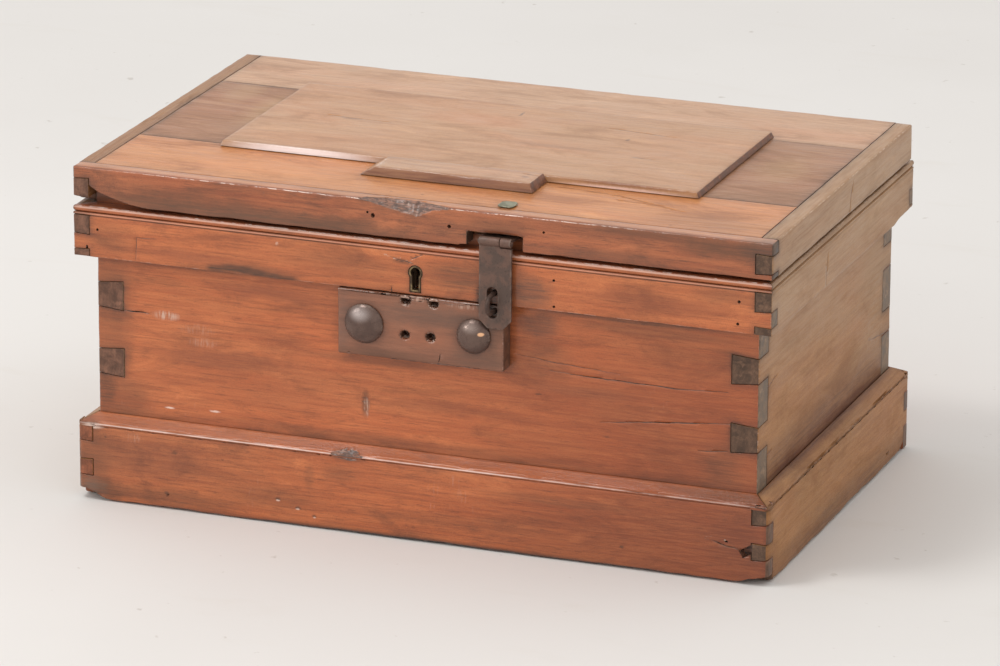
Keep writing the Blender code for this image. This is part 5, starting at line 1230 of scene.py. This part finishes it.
BLOCK_MARKS = [
    *stains_and_painted_light((0, BLOCK_Y, 0),
            # (3, 199.5) and (40, 198): scuffs with painted highlights along the top edge
            (3, 0, 199.5, PALE, 0.6, 20, 10, 3), (40, 0, 198, PALE, 0.45, 18, 10, 3),
            (4, 0, 169, (0.4, 0.13, 0.06), 0.5, 30, 10, 10), (-30, 0, 151, SOOTY, 0.6, 90, 10, 7),
            (10, 0, 186, (0.11, 0.07, 0.052), 0.55, 80, 10, 11),
            (50, 0, 156, (0.11, 0.06, 0.04), 0.6, 40, 10, 12),
            (-60, 0, 175, (0.15, 0.1, 0.08), 0.45, 12, 10, 30), (65, 0, 175, SOOTY, 0.55, 10, 10, 30),
            # (60, 200) and (59, 204): painted shadow behind the strap's slot
            (60, 0, 200, GRIME_AND_SHADE, 0.98, 14, 30, 24), (59, 0, 204, GRIME_AND_SHADE, 0.98, 11, 30, 18))]


def ironwork(node, body, surface, step=0.0015, arris=0.0004, wave=0.00008,
             wear=0.00015, seed=1, tools=None):
    """A forged or cast piece in the place of a CAD node: softened edges, hammered faces."""
    others = surroundings(node)
    bm = solid_of(node)
    open_tree, _ = mark_edges(bm, others)
    weight = bm.edges.layers.float["bevel_weight_edge"]
    for edge in bm.edges:
        sharp = len(edge.link_faces) == 2 and edge.calc_face_angle(0) > math.radians(32)
        edge[weight] = 1.0 if sharp else 0.0
    blank = bevelled(node, bm, (), arris, 2)
    tool = None
    if tools:
        cutters = bmesh.new()
        tools(cutters)
        tool = temporary(node + "_tools", cutters)
    bm = carved(blank, tool)
    cut_up(bm, (step,) * 3, {})
    weather(bm, others, open_tree, tree_of([]), seed, wave, wear)
    return adopt(node, body, bm, (surface,), 40)


def screw_slot(node, axis):
    """The tool that cuts a driver slot across a screw's head."""
    low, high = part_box(node)
    centre = (low + high) / 2
    heads = {"-z": (centre.x, centre.y, high.z), "z": (centre.x, centre.y, low.z),
             "-y": (centre.x, high.y, centre.z)}
    turn = random.Random(node).uniform(0, math.pi)

    def tools(bm):
        size = Vector((0.012, 0.0009, 0.0012))
        spin = Matrix.Rotation(turn, 4, "Z")
        if axis == "-y":
            spin = Matrix.Rotation(math.pi / 2, 4, "X") @ spin
        place = Matrix.Translation(heads[axis]) @ spin @ Matrix.Diagonal((*size, 1.0))
        bmesh.ops.create_cube(bm, size=1.0, matrix=place)
    return tools


def make_ironwork():
    board("hasp_block", "carcase", "dark_block", "block", "x", 71, None, block_damage, arris=0.0018,
          steps=(0.004, 0.0025, 0.0025), marks=BLOCK_MARKS, figure=0.45)
    ironwork("hasp_strap", "hasp", IRON, step=0.0016, arris=0.0006, wave=0.00015, wear=0.0004, seed=3)
    ironwork("hasp_leaf", "lid", IRON, step=0.003)
    ironwork("hasp_pin", "lid", IRON, step=0.002, seed=5)
    ironwork("hasp_staple", "carcase", DARK_IRON, step=0.001, wave=0.00025, seed=7)
    ironwork("hasp_clench", "lid", VERDIGRIS, 0.001, 0.0006, 0.0004, 0.0006, 9)
    for i, side in enumerate(("left", "right")):
        ironwork(f"dome_bolt_{side}", "carcase", DOME_IRON, step=0.0016, arris=0.0005, wave=0.00022,
                 seed=11 + i)
        ironwork(f"dome_bolt_nut_{side}", "carcase", IRON, step=0.003, seed=13 + i)
    ironwork("keyhole_escutcheon", "carcase", BRASS, 0.0012, 0.0003, 0.00008, 0.0002, 15)
    for node, body in (("lock_plate", "carcase"), ("lock_cap", "carcase"), ("lock_link_plate", "lid")):
        ironwork(node, body, IRON, step=0.003, arris=0.0003, seed=17)
    ironwork("lock_bolt", "lock_bolt", BRASS, 0.002, 0.0002)
    for side in ("left", "right"):
        for half, body in (("lower", "carcase"), ("upper", "lid")):
            ironwork(f"hinge_{side}_{half}_leaf", body, IRON, step=0.003, arris=0.0003, seed=19)
            for number in (1, 2):
                node = f"hinge_{side}_{half}_screw_{number}"
                tool = screw_slot(node, "-z" if half == "lower" else "z")
                ironwork(node, body, IRON, step=0.002, arris=0.0002, tools=tool)
        ironwork(f"hinge_{side}_pin", "carcase", IRON, step=0.003, arris=0.0002)
    for number in (1, 2):
        ironwork(f"lock_plate_screw_{number}", "carcase", IRON, step=0.002, arris=0.0002,
                 tools=screw_slot(f"lock_plate_screw_{number}", "-y"))
        ironwork(f"link_plate_screw_{number}", "lid", IRON, step=0.002, arris=0.0002,
                 tools=screw_slot(f"link_plate_screw_{number}", "z"))


# ================================================================ floor, lights, camera
def make_floor():
    bm = bmesh.new()
    bmesh.ops.create_grid(bm, x_segments=24, y_segments=24, size=9.0)
    mesh = bpy.data.meshes.new("floor")
    bm.to_mesh(mesh)
    bm.free()
    mesh.materials.append(floor_material())
    floor = bpy.data.objects.new("floor", mesh)
    bpy.context.scene.collection.objects.link(floor)


def add_light(name, at, size, power, colour):
    lamp = bpy.data.lights.new(name, "AREA")
    lamp.shape = "RECTANGLE"
    lamp.size, lamp.size_y = size
    lamp.energy = power
    lamp.color = colour
    holder = bpy.data.objects.new(name, lamp)
    holder.location = at
    holder.rotation_mode = "QUATERNION"
    holder.rotation_quaternion = (Vector((0, 0, 0.12)) - Vector(at)).to_track_quat("-Z", "Y")
    bpy.context.scene.collection.objects.link(holder)


def make_lights():
    world = bpy.data.worlds.new("studio")
    bpy.context.scene.world = world
    world.use_nodes = True
    sky = world.node_tree.nodes["Background"]
    sky.inputs["Color"].default_value = (1.0, 0.985, 0.965, 1.0)
    sky.inputs["Strength"].default_value = 0.95
    add_light("overhead", (-0.9, -0.9, 2.5), (0.7, 0.7), 18, (1.0, 0.99, 0.97))
    add_light("key", (-2.5, -2.3, 1.7), (0.8, 0.8), 14, (1.0, 0.98, 0.95))


def make_camera():
    yaw, pitch, roll = (math.radians(a) for a in CAMERA_TURN)
    forward = Vector((-math.sin(yaw) * math.cos(pitch), math.cos(yaw) * math.cos(pitch), -math.sin(pitch)))
    right = Vector((math.cos(yaw), math.sin(yaw), 0))
    up = right.cross(forward)
    right, up = right * math.cos(roll) + up * math.sin(roll), up * math.cos(roll) - right * math.sin(roll)
    matrix = Matrix((right, up, -forward)).transposed().to_4x4()
    matrix.translation = CAMERA_AT
    data = bpy.data.cameras.new("camera")
    data.lens = CAMERA_LENS
    data.sensor_width = CAMERA_SENSOR
    data.clip_end = 100
    camera = bpy.data.objects.new("camera", data)
    camera.matrix_world = matrix
    bpy.context.scene.collection.objects.link(camera)
    bpy.context.scene.camera = camera


make_floor()
make_lights()
make_camera()
make_case()
make_plinth()
make_band()
make_lid()
make_ironwork()
bpy.context.scene.view_settings.view_transform = "Standard"
